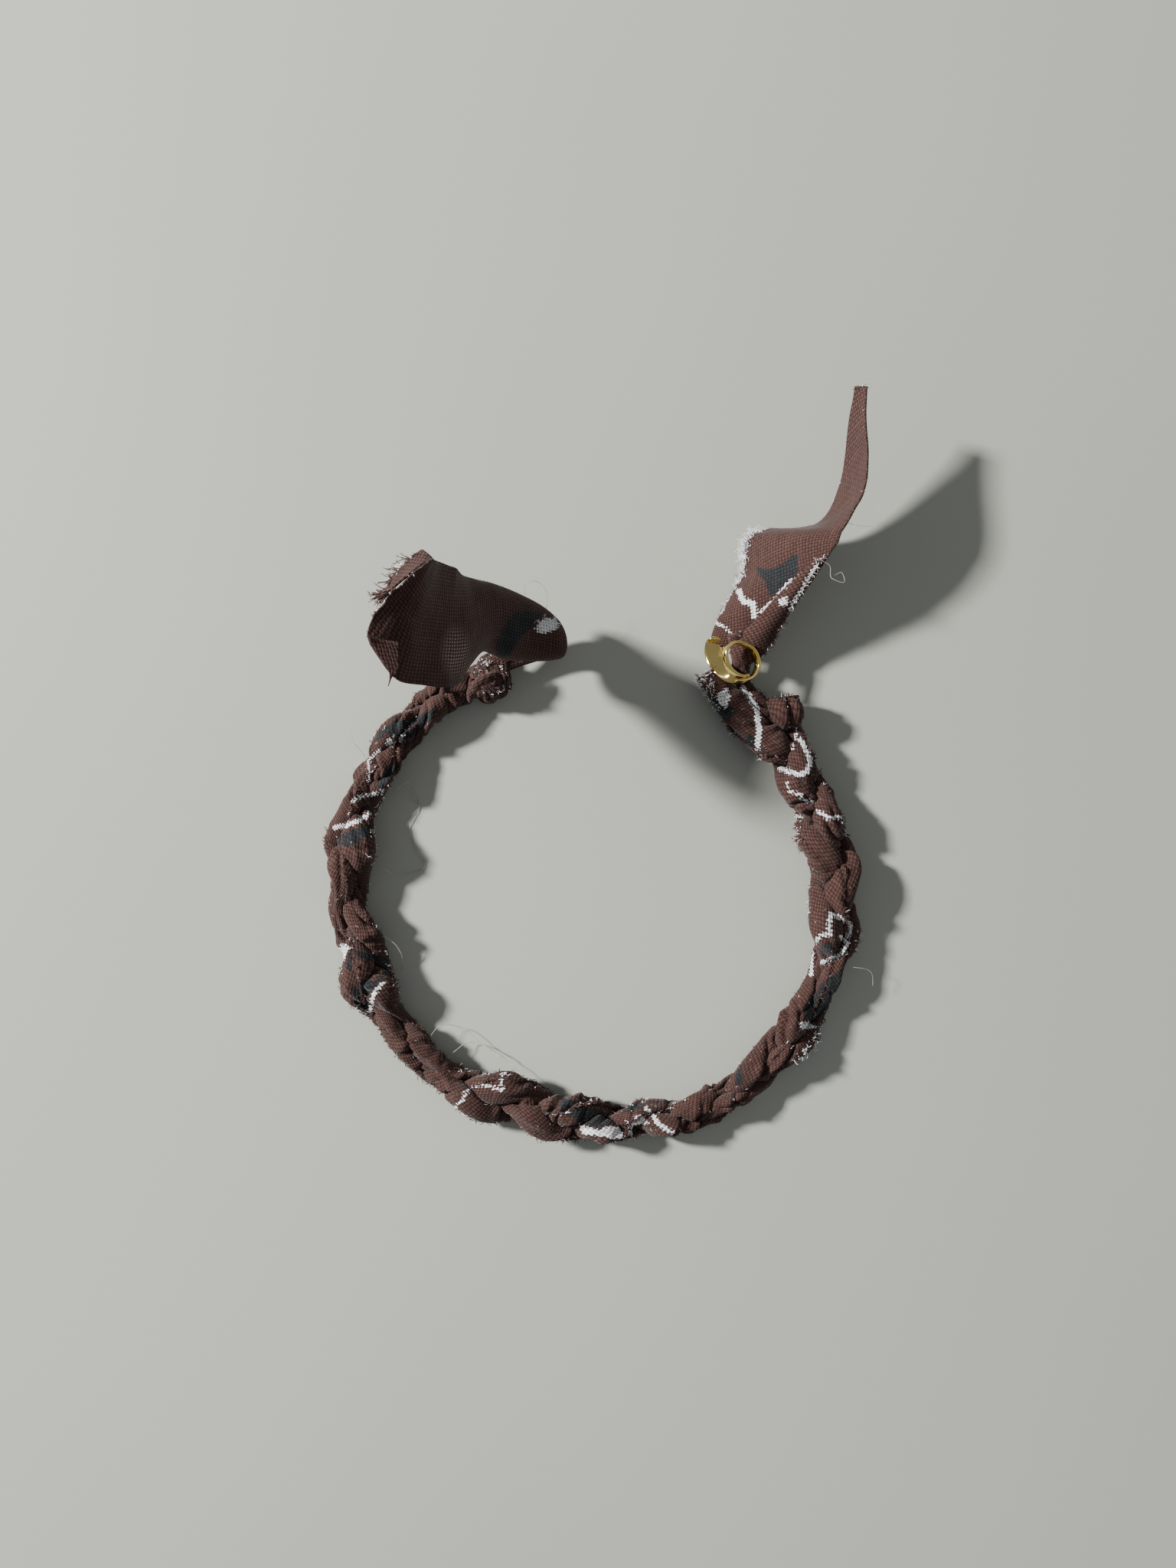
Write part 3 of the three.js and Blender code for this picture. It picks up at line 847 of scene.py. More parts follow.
# Tufts seen along the band: (angle, distance out, threads, length, spread along in mm, share of white)
TUFTS = [
    (113.5, 1.5, 30, 1.2, 2.0, 0.5), (118.0, -2.0, 22, 1.0, 2.0, 0.7), (124.0, 3.2, 18, 1.2, 1.5, 0.2),
    (134.0, 3.2, 16, 0.9, 2.0, 0.1), (146.0, 3.0, 18, 1.1, 1.5, 0.3), (152.0, -2.8, 18, 1.0, 2.0, 0.2),
    (160.5, -3.0, 24, 1.0, 2.0, 0.5), (170.8, 4.0, 34, 1.5, 1.4, 0.05), (168.5, -3.0, 30, 1.2, 1.8, 0.6),
    (174.0, -3.2, 18, 1.1, 1.2, 0.5), (184.0, -3.0, 14, 0.9, 2.0, 0.2), (191.0, -3.2, 20, 1.0, 1.5, 0.2),
    (202.0, 3.8, 34, 1.3, 1.6, 0.15), (209.5, 3.6, 34, 1.5, 1.8, 0.2), (206.0, -3.4, 26, 1.2, 2.4, 0.3),
    (215.0, 3.0, 18, 1.0, 2.0, 0.1), (221.0, -3.0, 16, 1.0, 1.5, 0.1), (231.5, 2.8, 30, 1.3, 2.0, 0.1),
    (237.0, -3.0, 18, 1.1, 2.0, 0.3), (244.0, -3.2, 26, 1.2, 2.0, 0.3), (256.5, -2.6, 24, 1.3, 1.6, 0.2),
    (265.5, 2.8, 36, 1.6, 1.8, 0.15), (269.0, -2.6, 18, 1.0, 1.5, 0.3), (277.5, 2.8, 30, 1.2, 2.5, 0.5),
    (281.5, -2.5, 26, 1.2, 2.5, 0.4), (290.0, 2.8, 14, 0.9, 2.0, 0.2), (303.0, 2.6, 16, 0.9, 2.0, 0.1),
    (311.0, -2.8, 14, 0.9, 2.0, 0.2), (322.0, 4.2, 46, 1.7, 2.2, 0.6), (327.0, 3.6, 30, 1.3, 1.6, 0.3),
    (333.0, -3.0, 14, 0.9, 1.5, 0.1), (347.5, 3.8, 40, 1.5, 1.8, 0.35), (352.0, -2.8, 18, 1.0, 2.0, 0.3),
    (360.0, -2.6, 20, 1.0, 2.0, 0.1), (372.5, 3.6, 36, 1.6, 1.5, 0.15), (371.5, -3.2, 44, 1.6, 2.2, 0.15),
    (377.0, -3.4, 26, 1.2, 1.6, 0.5), (384.0, 3.0, 18, 1.0, 1.5, 0.3), (391.0, 3.6, 20, 1.1, 1.2, 0.2),
    (395.0, 3.9, 22, 1.2, 1.2, 0.2), (403.0, 2.8, 30, 1.2, 2.0, 0.3), (397.0, -3.6, 24, 1.2, 1.5, 0.4),
]


def tufts(points, pressed, rows, seed):
    """The tufts whose place lies on this part of a strand, rooted on its visible surface."""
    rng = np.random.default_rng(seed)
    grid = points[rows].reshape(-1, 3)
    away = grid_normals(points)[rows].reshape(-1, 3)
    open_air = (pressed[rows].ravel() < 0.3) & (grid[:, 2] > 0.6)
    grid, away = grid[open_air], away[open_air]
    angle, offset = seen_from_above(grid)
    radial = unit(grid * [1, 1, 0])
    bunches = []
    middle, width, _ = band_shape(angle)
    for at_angle, out, count, length, spread, white in TUFTS:
        along = np.radians(angle - at_angle) * BAND_RADIUS
        edge = (offset - middle) * math.copysign(2, out) / width
        near = np.flatnonzero((np.abs(along) < spread) & (edge > 0.72))
        if len(near) < 30:
            continue
        count = int(2.6 * count * min(1, len(near) / 300) + 2)
        pick = rng.choice(near, count)
        jitter = rng.normal(0, 1, (count, 3))
        ways = radial[pick] * math.copysign(0.9, out) + away[pick] * 0.6 + jitter * 0.5
        tones = some_white(rng, count, white)
        bunches.append((grid[pick] - away[pick] * 0.1, ways, rng.uniform(0.25, 0.7, count) * length,
                        rng.uniform(0.07, 0.15, count), tones, rng))
    return bunches


def fluff(points, middle, reach, count, seed, white, length=0.9):
    """Fine fibres rooted on the visible part of a surface round a place over the ground."""
    rng = np.random.default_rng(seed)
    grid = points.reshape(-1, 3)
    x, y = over_ground(grid)
    near = np.hypot((x - middle[0]) / reach[0], (y - middle[1]) / reach[1]) < 1
    near = np.flatnonzero(near)
    top = near[grid[near, 2] > np.percentile(grid[near, 2], 45)]
    pick = rng.choice(top, count)
    jitter = rng.normal(0, 1, (count, 3))
    tones = some_white(rng, count, white)
    return (grid[pick] + jitter * 0.08, jitter * 0.7 + [0.1, 0.1, 0.8], rng.uniform(0.4, 1, count) * length,
            rng.uniform(0.06, 0.12, count), tones, rng)


def cut_end(line, seed, white):
    """Threads that fan out of a strip's cut end."""
    rng = np.random.default_rng(seed)
    count = 170
    radius = 1.5
    way = unit(line[-1] - line[-6])
    jitter = rng.normal(0, 1, (count, 3))
    side = jitter - (jitter @ way)[:, None] * way
    off = unit(side) * np.sqrt(rng.uniform(0, 1, (count, 1))) * radius
    roots = line[-1] + off - way * rng.uniform(0.2, 1.0, (count, 1))
    ways = way + off * 0.35 + jitter * 0.25
    tones = rng.choice([0, 1, 2, 3], count, p=[0.84 - white, white, 0.04, 0.12])
    roots[:, 2] = np.maximum(roots[:, 2], 0.3)
    return roots, ways, rng.uniform(0.5, 1.5, count), rng.uniform(0.11, 0.22, count), tones, rng


CROWN_MIDDLE = 270  # degrees round the band
CUT_REACH = 13.5  # the strands are parted within so many degrees of the crown's middle
LEFT_END = 0.8  # thickness of a strand at its left end, as a share of its full one

# For each strand: thickness at its right end, start of its torn edge in radians, length over which it
# thins towards its right end, share of white threads at its cut end
STRAND_TRAITS = {
    "a": (0.46, 0.6, 15.0, None),
    "b": (1.2, 2.6, 5.0, 0.05),
    "c": (0.85, 4.4, 5.0, 0.4),
}


def add_strands(material):
    """Each strip in two meshes, parted under its neighbours near the middle of the crown."""
    lines = [strand_line(k) for k in range(3)]
    for k, (letter, traits) in enumerate(STRAND_TRAITS.items()):
        right_end, edge_start, neck, cut_white = traits
        line, at, angle = lines[k]
        others = [lines[j][0] for j in range(3) if j != k]
        points, cloth, pressed = strand_surface(line, at, others, 11 + k, ends=(LEFT_END, right_end),
                                                edge_start=edge_start, neck=neck,
                                                full=band_shape(angle)[2])
        near_middle = np.abs(angle - CROWN_MIDDLE) < CUT_REACH
        cut = int(np.argmin(np.where(near_middle, line[:, 2], 99)))
        for half, rows, joint, nodes in (
            ("left", slice(0, cut + 1), "flex_left", [f"strand_{letter}_left", f"strand_{letter}_crown"]),
            ("right", slice(cut, None), "flex_right", [f"strand_{letter}_right"]),
        ):
            seed = 100 + 10 * k + (half == "right")
            threads = [torn_edge(points, pressed, rows, seed, 0.03),
                       fuzz(points, pressed, rows, seed + 2, 900)]
            threads += tufts(points, pressed, rows, seed + 4)
            if half == "right" and cut_white is not None:
                threads.append(cut_end(line, seed + 6, cut_white))
            if half == "right" and letter == "c":
                threads.append(fluff(points[-60:], (15.4, 27.6), (1.6, 2.2), 170, seed + 7, 0.7, 0.8))
                threads.append(fluff(points[-60:], (17.4, 24.6), (1.4, 1.4), 90, seed + 8, 0.7, 0.6))
            name = f"strand_{letter}_{half}_half"
            obj = strand_object(name, points[rows], cloth[rows], material, k, threads)
            bend_at(obj)
            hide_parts(*nodes)


# Sheets: a torn strip between two edges, closed round its thickness

STRIP = 14.5  # width of a torn strip

ROLL = np.linspace(0.001, 1.2, 300)  # share of a full turn that a strip is rolled through
ROLLED_WIDTH = np.where(ROLL < 0.5, np.sin(np.pi * ROLL), 1.0) / (np.pi * ROLL)


def seen_edges(rows):
    """Rows of a sheet's two edges from rows (x, y, height, x, y, height) over the ground."""
    return [[*below(*row[:3]), *below(*row[3:])] for row in rows]


def sheet_grid(rows, steps, across, curl=0.45, width=STRIP, ripple=0.3, seed=0, flat_from=99, over=2.5,
               bias=0.0):
    """A sheet between edges given as rows (x, y, z, x, y, z), curled where it is gathered.

    The edges curl towards the side that its run crossed with its span points to. From the row
    flat_from on the curl goes away over the next few rows. The weave is turned by bias."""
    rows = np.asarray(rows, float)
    left = spline(rows[:, :3], steps)
    right = spline(rows[:, 3:], steps)
    middle = (left + right) / 2
    run = unit(np.gradient(middle, axis=0))
    wide = np.linalg.norm(right - left, axis=1)
    span = (right - left) / wide[:, None]
    normal = unit(np.cross(run, span))
    share = np.clip(wide / width, 0.3, 1.0)
    share = np.maximum(share, ease((np.arange(len(wide)) / steps - flat_from) / over))
    roll = np.interp(share, ROLLED_WIDTH[::-1], ROLL[::-1])
    w = np.linspace(-1, 1, across + 1)
    turn = np.pi * w * roll[:, None]
    reach = (wide / np.where(roll > 0.5, 1.0, np.sin(np.pi * roll)) / 2)[:, None]
    lift = (1 - np.cos(turn)) * reach * curl
    length = np.concatenate([[0], np.cumsum(np.linalg.norm(np.diff(middle, axis=0), axis=1))])
    u = 0.5 * w * (wide / share)[:, None]
    v = length[:, None] + 0 * w
    wave = noise2(u / 5, v / 6, seed) * ripple + 0.25 * ripple * noise2(u / 1.7, v / 2.3, seed + 1)
    points = middle[:, None] + span[:, None] * (np.sin(turn) * reach)[..., None]
    points = points + normal[:, None] * (lift + wave)[..., None]
    c, d = math.cos(bias), math.sin(bias)
    return points, np.stack([c * u + d * v + 40, c * v - d * u, np.full(v.shape, float(seed))], axis=-1)


def rim_threads(rim, inner, count, length, seed, white, pale, spread, thick=(0.08, 0.16), curl=1.6):
    """Threads that stand out of a sheet's rim, away from its inner points."""
    rng = np.random.default_rng(seed)
    pick = rng.choice(len(rim), count)
    out = unit(rim - inner)[pick]
    jitter = rng.normal(0, 1, (count, 3))
    roots = rim[pick] - out * 0.25 + jitter * 0.06
    tones = rng.choice([0, 1, 3], count, p=[1 - white - pale, white, pale])
    return (roots, out + jitter * spread, rng.uniform(0.35, 1.0, count) * length,
            rng.uniform(*thick, count), tones, rng, curl)


def sheet_marks(points, lines, white, navy):
    """Print on a tail: depths inside white and navy, from outlines laid over the ground."""
    x, y = over_ground(points)
    depth = np.full(x.shape, NO_PRINT)
    dark = np.full(x.shape, NO_PRINT)
    for width, line in lines:
        depth = np.maximum(depth, width / 2 - distance_to_line(x, y, line))
    for shapes, target in ((white, depth), (navy, dark)):
        for shape in shapes:
            edge = distance_to_line(x, y, shape + shape[:1])
            np.maximum(target, np.where(inside_outline(x, y, shape), edge, -edge), out=target)
    return np.stack([depth, dark, np.zeros_like(depth)], axis=-1)


# The left tail

# Its two edges from the knot to the torn end; the rows in seen_edges are given over the ground
LEFT_TAIL = [
    [-14.0, 27.5, 2.7, -14.4, 30.5, 3.4],
    [-11.0, 29.2, 2.3, -11.2, 32.4, 3.2],
    [-7.5, 30.3, 2.0, -7.6, 34.2, 2.6],
    [-4.4, 30.8, 2.4, -4.8, 35.0, 2.9],
    [-3.0, 30.6, 4.7, -3.5, 34.9, 4.8],
    *seen_edges([
        (-4.2, 30.8, 6.6, -4.6, 36.9, 6.4),
        (-7.0, 30.6, 8.8, -6.9, 38.7, 8.6),
        (-10.5, 30.7, 11.8, -9.6, 40.1, 11.6),
        (-13.4, 31.7, 15.0, -12.4, 41.1, 15.0),
        (-15.3, 29.8, 18.5, -14.9, 41.9, 18.0),
        (-17.0, 27.6, 21.5, -17.2, 42.4, 21.0),
        (-19.8, 26.7, 24.5, -19.0, 43.2, 24.0),
        (-23.3, 27.0, 28.0, -20.6, 43.9, 27.5),
        (-26.9, 27.7, 31.4, -21.7, 44.3, 30.5),
        (-29.6, 30.8, 33.2, -22.2, 44.5, 32.0),
        (-31.2, 33.9, 34.1, -22.8, 44.2, 32.7),
        (-30.2, 36.9, 34.3, -24.7, 42.8, 33.5),
    ]),
]
LEFT_NAVY = [[(-13.6, 32.1), (-12.3, 35.2), (-10.9, 36.9), (-8.7, 37.4), (-7.0, 37.0), (-7.4, 36.1),
              (-8.7, 34.8), (-10.1, 33.4), (-11.4, 31.2), (-12.7, 31.0)]]
LEFT_WHITE = [[(-8.0, 34.7), (-7.2, 35.8), (-6.0, 36.2), (-4.9, 35.7), (-4.7, 34.9), (-5.7, 34.4),
               (-7.0, 34.2)]]
THIN_SPOT = (-18.9, 31.6, 2.1, 3.7)  # where light comes through the flag: middle and radii over the ground
FLAG_BOTTOM = 12  # the flag is the part of the tail above this height


def corner_flap():
    """The small folded corner at the tail's lower left, turned up to the light."""
    rows = seen_edges([
        (-31.2, 33.8, 34.4, -26.6, 32.9, 32.9),
        (-29.8, 31.4, 33.7, -26.6, 30.9, 32.8),
        (-28.3, 29.4, 33.0, -26.9, 29.0, 32.6),
        (-28.0, 28.2, 32.6, -27.7, 28.1, 32.5),
        (-28.2, 26.9, 32.3, -28.1, 26.9, 32.3),
    ])
    return sheet_grid(rows, 10, 12, width=4.0, ripple=0.06, seed=31, flat_from=-2)


def end_flap():
    """The tail's torn end, bent down past a crease."""
    rows = seen_edges([
        (-22.0, 44.6, 31.8, -23.5, 45.9, 31.0),
        (-24.2, 43.1, 33.3, -25.4, 44.3, 31.6),
        (-26.4, 41.4, 33.9, -27.0, 42.3, 32.4),
        (-28.6, 39.4, 34.3, -28.8, 39.9, 33.6),
    ])
    return sheet_grid(rows, 14, 10, width=3.0, ripple=0.1, seed=33, flat_from=-2, bias=0.5)


def see_through(points, marks):
    """Marks the thin part of the flag, where the gaps of the weave let the light through."""
    x, y, wide, high = THIN_SPOT
    over_x, over_y = over_ground(points)
    away = np.hypot((over_x - x) / wide, (over_y - y) / high)
    marks[..., 2] = ease(1.5 - 1.2 * away) * (points[..., 2] > FLAG_BOTTOM)
    return marks


def add_left_tail(material):
    bundle = Bundle()
    points, cloth = sheet_grid(LEFT_TAIL, 14, 50, curl=0.5, seed=21, flat_from=5, over=6, bias=0.04)
    marks = see_through(points, sheet_marks(points, [], LEFT_WHITE, LEFT_NAVY))
    bundle.add_sheet(points, cloth, marks)
    flaps = [corner_flap(), end_flap()]
    for flap, flap_cloth in flaps:
        bundle.add_sheet(flap, flap_cloth, sheet_marks(flap, [], [], []))
    flap = flaps[1][0]
    fringe = np.concatenate([flap[12:, -1], flap[-1], flap[-8:, 0]])
    root = np.concatenate([flap[12:, 5], flap[-3], flap[-10:-2, 0]])
    way = np.array([0.75, 0.45, 0.1])
    for bunch in (
        rim_threads(fringe, root * 0.2 + (fringe + way) * 0.8, 130, 2.3, 301, 0.08, 0.62, 0.14,
                    (0.14, 0.24), curl=0.5),
        rim_threads(flap[:, -1], flap[:, -4], 50, 0.8, 302, 0.05, 0.4, 0.4),
        rim_threads(points[60:, -1], points[60:, -3], 170, 0.45, 303, 0.1, 0.1, 0.4, (0.05, 0.1)),
        rim_threads(points[60:, 0], points[60:, 2], 120, 0.45, 304, 0.1, 0.1, 0.4, (0.05, 0.1)),
        rim_threads(points[-1], points[-3], 80, 0.5, 305, 0.1, 0.2, 0.4, (0.06, 0.12)),
        rim_threads(points[72:90, -1], points[72:90, -3], 60, 1.1, 306, 0.1, 0.1, 0.5),
    ):
        bundle.add_threads(*bunch)
    bundle.add_threads(*fluff(points, (-6.4, 35.4), (1.7, 0.9), 420, 307, 0.95))
    obj = bundle.make("left_tail", material)
    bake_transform(obj)
    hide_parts("left_tail_loop", "left_tail_flag")


# The right tail

RIGHT_TAIL = seen_edges([
    (16.4, 33.0, 4.6, 20.4, 31.8, 5.0),
    (17.0, 35.2, 4.6, 24.2, 33.4, 5.8),
    (18.0, 38.0, 4.3, 26.7, 37.0, 8.5),
    (19.2, 40.6, 4.0, 28.7, 40.1, 10.4),
    (20.3, 42.8, 3.8, 30.3, 42.4, 11.6),
    (20.8, 46.0, 3.5, 32.0, 44.8, 12.4),
    (22.3, 48.4, 3.3, 33.7, 47.2, 12.8),
    (27.6, 48.7, 3.3, 35.3, 49.4, 13.1),
    (30.8, 49.3, 3.6, 36.5, 51.4, 13.2),
    (32.9, 51.4, 4.6, 37.7, 53.6, 13.3),
    (34.4, 55.0, 6.2, 38.3, 57.0, 13.2),
    (35.3, 60.0, 8.4, 38.15, 60.6, 13.1),
    (35.9, 64.6, 10.4, 37.95, 64.8, 13.1),
    (36.35, 68.4, 11.8, 37.95, 68.4, 13.1),
])
RIGHT_HEM = [  # left edge and right edge over the ground: it lies on the tail
    (19.0, 31.4, 21.6, 29.8), (19.8, 32.8, 23.3, 30.9), (21.0, 34.4, 24.9, 32.7), (23.0, 36.4, 26.1, 35.0),
    (24.9, 38.5, 27.6, 37.4), (27.0, 40.7, 29.1, 40.0), (29.2, 42.8, 30.5, 42.3), (31.4, 44.5, 31.9, 44.3),
]
RIGHT_NAVY = [[(22.7, 43.4), (24.3, 43.0), (25.9, 43.4), (28.6, 45.5), (28.5, 42.7), (27.5, 41.4),
               (25.6, 39.8), (24.6, 39.0), (24.1, 41.4), (23.3, 42.1)]]
RIGHT_LINES = [(0.75, [(20.5, 39.9), (21.0, 38.5), (22.4, 38.4), (22.5, 36.6)]),
               (0.5, [(23.4, 37.2), (25.2, 38.6), (27.6, 41.5)]),
               (0.3, [(18.6, 38.8), (18.2, 37.4), (17.0, 36.0)]),
               (0.35, [(17.2, 35.6), (18.6, 34.9), (19.4, 33.9)])]
HEM_WHITE = [[(26.0, 38.9), (26.9, 39.3), (27.3, 38.5), (26.6, 37.9), (25.9, 38.2)]]
HEM_LINES = [(0.45, [(27.3, 37.4), (28.4, 39.5), (30.0, 41.8), (31.0, 43.6)])]


def on_top(points, x, y, lift):
    """The point over the ground's (x, y) that lies a little above a surface."""
    grid = points.reshape(-1, 3)
    over_x, over_y = over_ground(grid)
    away = np.hypot(over_x - x, over_y - y)
    return below(x, y, grid[away < away.min() + 0.35, 2].max() + lift)


def add_right_tail(material):
    bundle = Bundle()
    points, cloth = sheet_grid(RIGHT_TAIL, 14, 46, curl=0.3, ripple=0.22, seed=23, flat_from=4, bias=0.5)
    bundle.add_sheet(points, cloth, sheet_marks(points, RIGHT_LINES, [], RIGHT_NAVY))
    hem_rows = [[*on_top(points, x, y, 0.3), *on_top(points, x2, y2, 0.15)] for x, y, x2, y2 in RIGHT_HEM]
    hem, hem_cloth = sheet_grid(hem_rows, 12, 18, width=5.6, ripple=0.2, seed=25, flat_from=-2, bias=-0.6)
    arch = np.interp(np.arange(len(hem)), [0, 24, 48, len(hem)], [0.4, 0.8, 0.7, 0.1])
    hem[..., 2] += arch[:, None] * np.sin(np.linspace(0, np.pi, hem.shape[1]))
    bundle.add_sheet(hem, hem_cloth, sheet_marks(hem, HEM_LINES, HEM_WHITE, []))
    for bunch in (
        rim_threads(points[66:88, 0], points[66:88, 3], 520, 1.9, 401, 0.97, 0.0, 0.55, (0.07, 0.14)),
        rim_threads(points[44:70, 0], points[44:70, 3], 330, 1.5, 402, 0.8, 0.05, 0.55, (0.07, 0.14)),
        rim_threads(points[14:48, 0], points[14:48, 3], 150, 0.9, 403, 0.35, 0.2, 0.5),
        rim_threads(points[88:, 0], points[88:, 3], 90, 0.4, 404, 0.1, 0.3, 0.4, (0.05, 0.1)),
        rim_threads(points[60:, -1], points[60:, -4], 130, 0.4, 405, 0.1, 0.2, 0.4, (0.05, 0.1)),
        rim_threads(points[-1], points[-3], 40, 0.6, 406, 0.1, 0.3, 0.3),
        rim_threads(hem[8:50, -1], hem[8:50, -4], 160, 1.0, 407, 0.1, 0.2, 0.45),
        rim_threads(hem[50:, -1], hem[50:, -4], 120, 1.0, 408, 0.45, 0.3, 0.5),
        rim_threads(hem[40:, 0], hem[40:, 3], 60, 0.5, 409, 0.6, 0.2, 0.4),
    ):
        bundle.add_threads(*bunch)
    obj = bundle.make("right_tail", material)
    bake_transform(obj)
    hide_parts("right_tail_flag")


# The knot: a strip wound round the others


def add_knot(material):
    axis = unit(np.array([0.86, 0.5, 0.02]))
    side = unit(np.cross(axis, [0, 0, 1.0]))
    up = np.cross(side, axis)
    centre = np.array([-13.8, 27.6, 3.0])
    turns = np.linspace(math.radians(-150), math.radians(830), 150)
    share = np.linspace(-1, 1, len(turns))
    out = np.cos(turns)[:, None] * side * 1.7 + np.sin(turns)[:, None] * up * 1.8
    out += axis * (0.45 * np.sin(1.3 * turns + 1))[:, None]
    line, at = evenly(centre + out + axis * share[:, None] * 2.3, STEP)
    points, cloth, pressed = strand_surface(line, at, [], 41, width=0.52, ends=(0.5, 0.5), edge_turn=0.05)
    rows = slice(0, len(line))
    threads = [torn_edge(points, pressed, rows, 51, 0.12), fuzz(points, pressed, rows, 52, 260),
               fluff(points, (-14.6, 30.6), (1.4, 0.8), 60, 53, 0.9, 0.7),
               fluff(points, (-12.4, 29.0), (0.7, 0.9), 40, 54, 0.85, 0.7),
               fluff(points, (-12.0, 26.3), (1.2, 0.7), 40, 55, 0.7, 0.7)]
    obj = strand_object("left_knot_wrap", points, cloth, material, 4, threads)
    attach(obj, "band_left")
    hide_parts("left_knot")


# The coil: a broad strip end at the back, then a full turn and a bit more in front

COIL = [  # middle of the strip, over the ground with its height
    (17.7, 33.5, 4.9), (17.0, 32.7, 4.0), (16.9, 31.4, 3.7), (17.4, 30.1, 4.0), (18.3, 28.9, 4.9),
    (19.4, 28.0, 5.7), (20.7, 27.6, 5.9), (22.2, 28.2, 5.5), (22.95, 29.9, 5.4), (22.4, 31.7, 6.0),
    (21.0, 32.7, 6.9), (19.5, 32.8, 7.6), (18.5, 31.8, 7.9), (18.6, 30.2, 7.9), (19.4, 28.9, 7.5),
    (20.6, 28.2, 6.9), (21.8, 28.4, 6.4),
]
BACK_AXIS = unit(np.array([0.93, 0.1, 0.12]))  # along the strip's width, at the back and in front
FRONT_AXIS = unit(np.array([0.55, 0.27, 0.79]))
COIL_TURNS_OVER = (3.0, 6.2)  # control points between which the strip turns from one to the other
COIL_WIDE = 2.5
COIL_NARROW = 1.0
COIL_THICK = 0.46
COIL_TIP = 0.55  # spans of control points over which the strip's two ends are rounded
COIL_SIDES = 24


def add_ring(material):
    line = spline(np.array([below(*place) for place in COIL]), 14)
    control = np.linspace(0, len(COIL) - 1, len(line))
    first, last = COIL_TURNS_OVER
    turned = ease((control - first) / (last - first))[:, None]
    along = unit(np.gradient(line, axis=0))
    across = BACK_AXIS * (1 - turned) + FRONT_AXIS * turned
    across = unit(across - (across * along).sum(-1, keepdims=True) * along)
    out = np.cross(along, across)
    around = 2 * np.pi * np.arange(COIL_SIDES) / COIL_SIDES
    corner = np.sign(np.cos(around)) * np.abs(np.cos(around)) ** 0.55
    flank = np.sign(np.sin(around)) * np.abs(np.sin(around)) ** 0.55
    wide = COIL_WIDE + (COIL_NARROW - COIL_WIDE) * turned
    ends = np.minimum(control, control[-1] - control)[:, None]
    taper = np.sqrt(np.clip(1 - (1 - ends / COIL_TIP) ** 2 * (ends < COIL_TIP), 0.05, 1))
    points = line[:, None] + out[:, None] * (COIL_THICK / 2 * corner)[None, :, None]
    points = points + across[:, None] * (flank[None] * wide * taper / 2)[..., None]
    caps = np.stack([points[0].mean(0), points[-1].mean(0)])
    skin = np.concatenate([points.reshape(-1, 3), caps])
    obj = make_object("coil", skin, tube_faces(len(line), COIL_SIDES), material)
    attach(obj, "ring")
    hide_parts("coil_ring")


# Long fine threads of lint: the joint whose moving body names it (and carries it, unless the joint is a
# flex one), thickness, and points over the ground with their height

LINT = [
    ("flex_left", 0.07, [(-9.3, 39.6, 9), (-9.2, 41.0, 9.5), (-7.6, 41.4, 9.5), (-6.2, 39.8, 8.5),
                         (-6.3, 37.6, 7.5)]),
    ("flex_left", 0.07, [(-27.0, 12.6, 3.0), (-25.4, 13.6, 1.5), (-24.3, 12.2, 0.5), (-24.0, 9.6, 0.2),
                         (-25.2, 7.4, 0.2), (-24.4, 4.2, 0.2), (-23.2, 1.8, 0.2), (-26.8, 0.8, 0.6),
                         (-28.8, 1.6, 2)]),
    ("flex_left", 0.06, [(-24.6, 13.0, 0.6), (-25.0, 11.4, 0.2), (-23.8, 10.4, 0.2), (-24.8, 9.2, 0.3)]),
    ("flex_left", 0.11, [(-29.3, -7.6, 3.6), (-27.4, -8.6, 3.2), (-26.3, -10.4, 2.0), (-26.2, -12.4, 0.8)]),
    ("flex_left", 0.06, [(-31.4, 17.2, 4.0), (-33.0, 19.2, 5.0), (-33.4, 21.0, 5.2)]),
    ("flex_left", 0.08, [(-22.8, -22.2, 3.0), (-20.8, -20.0, 2.2), (-17.6, -20.6, 1.2), (-15.2, -22.8, 1.4),
                         (-12.6, -24.6, 2.0)]),
    ("flex_left", 0.09, [(-19.2, -23.8, 2.0), (-16.8, -22.4, 1.0), (-13.2, -23.8, 1.0),
                         (-9.4, -27.2, 2.2)]),
    ("flex_right", 0.06, [(36.2, -12.0, 3.5), (38.6, -12.6, 3.0), (38.9, -14.6, 2.4)]),
    ("right_tail_lift", 0.06, [(35.2, 49.6, 12.8), (37.2, 49.0, 12.4), (39.4, 49.3, 12), (39.9, 50.8, 12),
                               (39.5, 52.4, 12)]),
    ("right_tail_lift", 0.07, [(30.6, 44.6, 12.4), (32.8, 43.6, 11.6), (33.2, 41.8, 11), (34.9, 41.2, 10.6),
                               (34.6, 42.6, 10.6), (33.6, 42.2, 10.8)]),
]


LINT_SIDES = 5


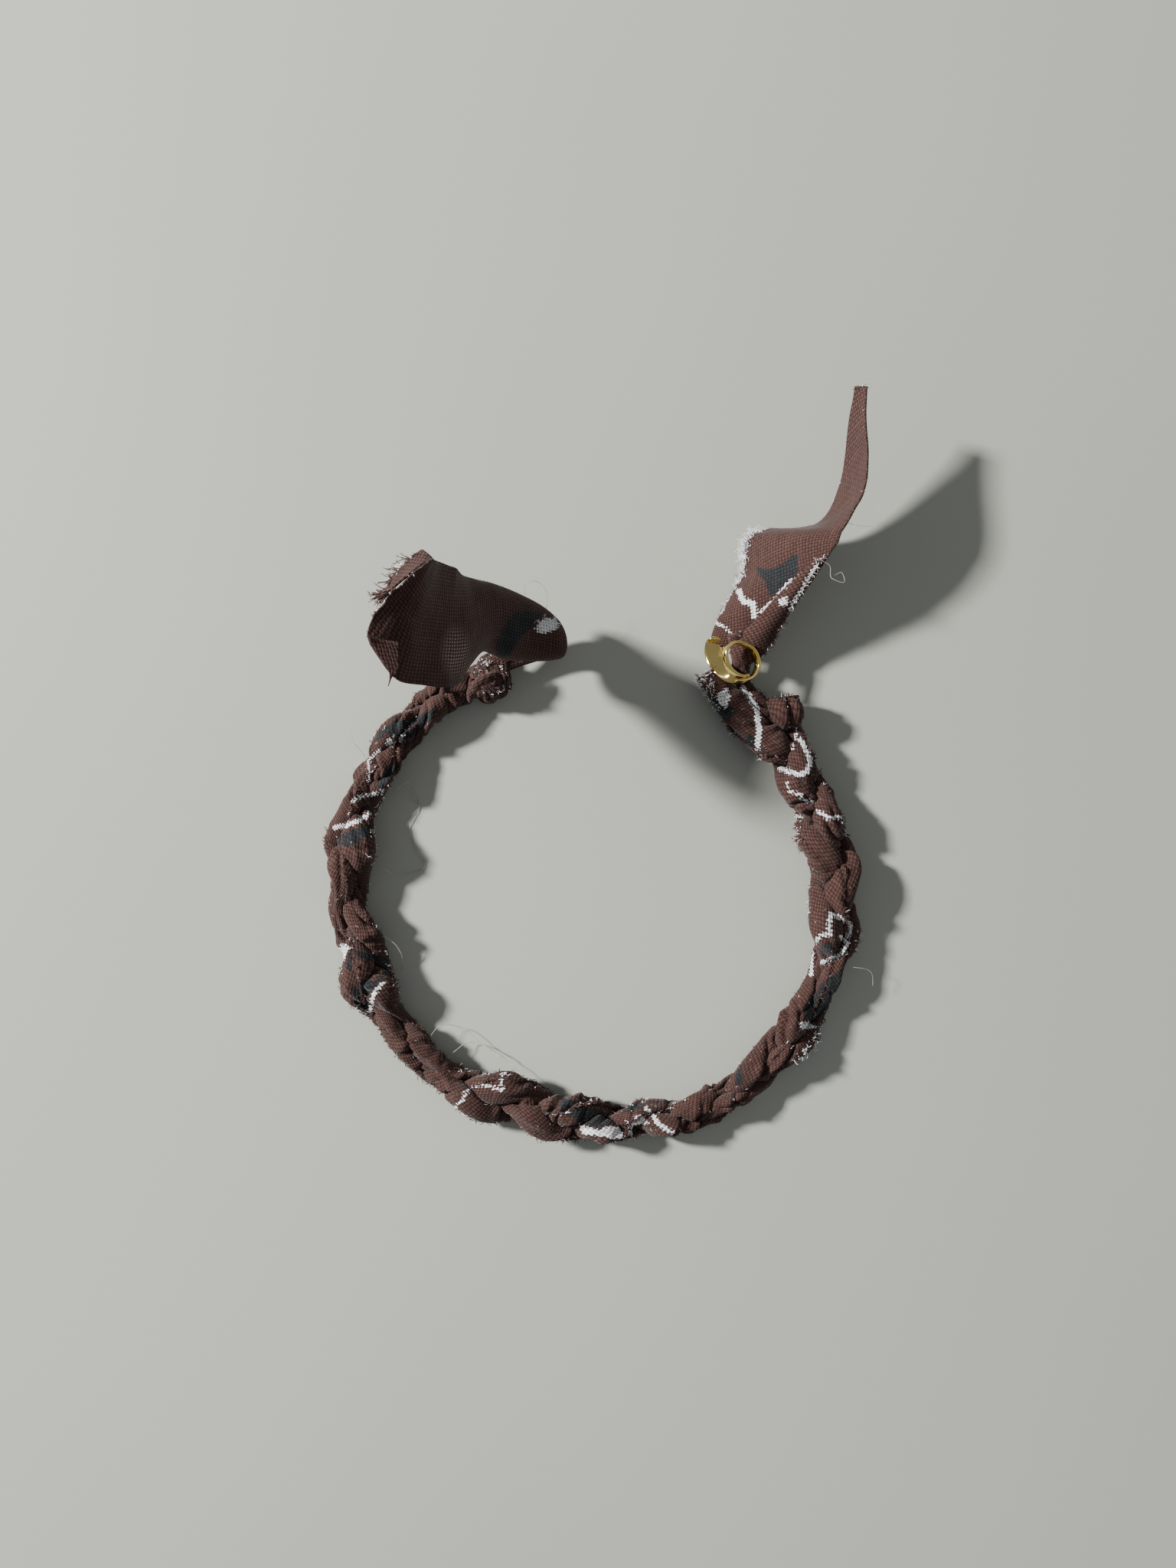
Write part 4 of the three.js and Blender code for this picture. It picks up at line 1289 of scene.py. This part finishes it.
def add_lint(material):
    groups = {}
    for joint, thick, places in LINT:
        groups.setdefault(joint, []).append((thick, places))
    for joint, threads in groups.items():
        bundle = Bundle()
        for thick, places in threads:
            line, _ = evenly(spline([below(*place) for place in places], 8), 0.25)
            line = line + 0.05 * noise(line[:, None] * [[1, 1, 1]], 0.9, 61)
            _, side, up = frames(line)
            turn = 2 * np.pi * np.arange(LINT_SIDES) / LINT_SIDES
            ring = side[:, None] * np.cos(turn)[:, None] + up[:, None] * np.sin(turn)[:, None]
            points = (line[:, None] + ring * thick / 2).reshape(-1, 3)
            points[:, 2] = np.maximum(points[:, 2], FLOOR)
            bundle.add(np.concatenate([points, line[:1], line[-1:]]), tube_faces(len(line), LINT_SIDES))
        body = JOINTS[joint]["child"]
        obj = bundle.make(f"lint_{body}", material)
        if joint.startswith("flex"):
            bend_at(obj)
        else:
            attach(obj, body)


add_camera()
CLOTH = cloth_material("printed_cotton")
BRASS = brass_material()
add_strands(CLOTH)
add_knot(CLOTH)
add_left_tail(CLOTH)
add_right_tail(CLOTH)
add_ring(BRASS)
add_lint(thread_material("lint", (0.32, 0.27, 0.22, 1.0), (0.6, 0.55, 0.48, 1.0)))


# Stage


def add_stage():
    mesh = bpy.data.meshes.new("floor")
    half = 1.2  # metres
    corners = [(-half, -half, 0), (half, -half, 0), (half, half, 0), (-half, half, 0)]
    mesh.from_pydata(corners, [], [(0, 1, 2, 3)])
    mesh.materials.append(floor_material())
    floor = bpy.data.objects.new("floor", mesh)
    bpy.context.scene.collection.objects.link(floor)


def add_light(name, location, size, power):
    """A square lamp that shines on the origin."""
    light = bpy.data.lights.new(name, "AREA")
    light.size = size
    light.energy = power
    obj = bpy.data.objects.new(name, light)
    obj.location = location
    obj.rotation_euler = (-Vector(location)).to_track_quat("-Z", "Y").to_euler()
    bpy.context.scene.collection.objects.link(obj)


def add_lights():
    add_light("key", (-0.64, 0.235, 0.45), size=0.08, power=18.0)
    add_light("fill", (0.4, 0.1, 0.8), size=0.9, power=0.6)
    world = bpy.data.worlds.new("studio")
    bpy.context.scene.world = world
    world.use_nodes = True
    background = world.node_tree.nodes["Background"]
    background.inputs[0].default_value = (0.86, 0.9, 0.95, 1.0)
    background.inputs[1].default_value = 0.27


add_stage()
add_lights()
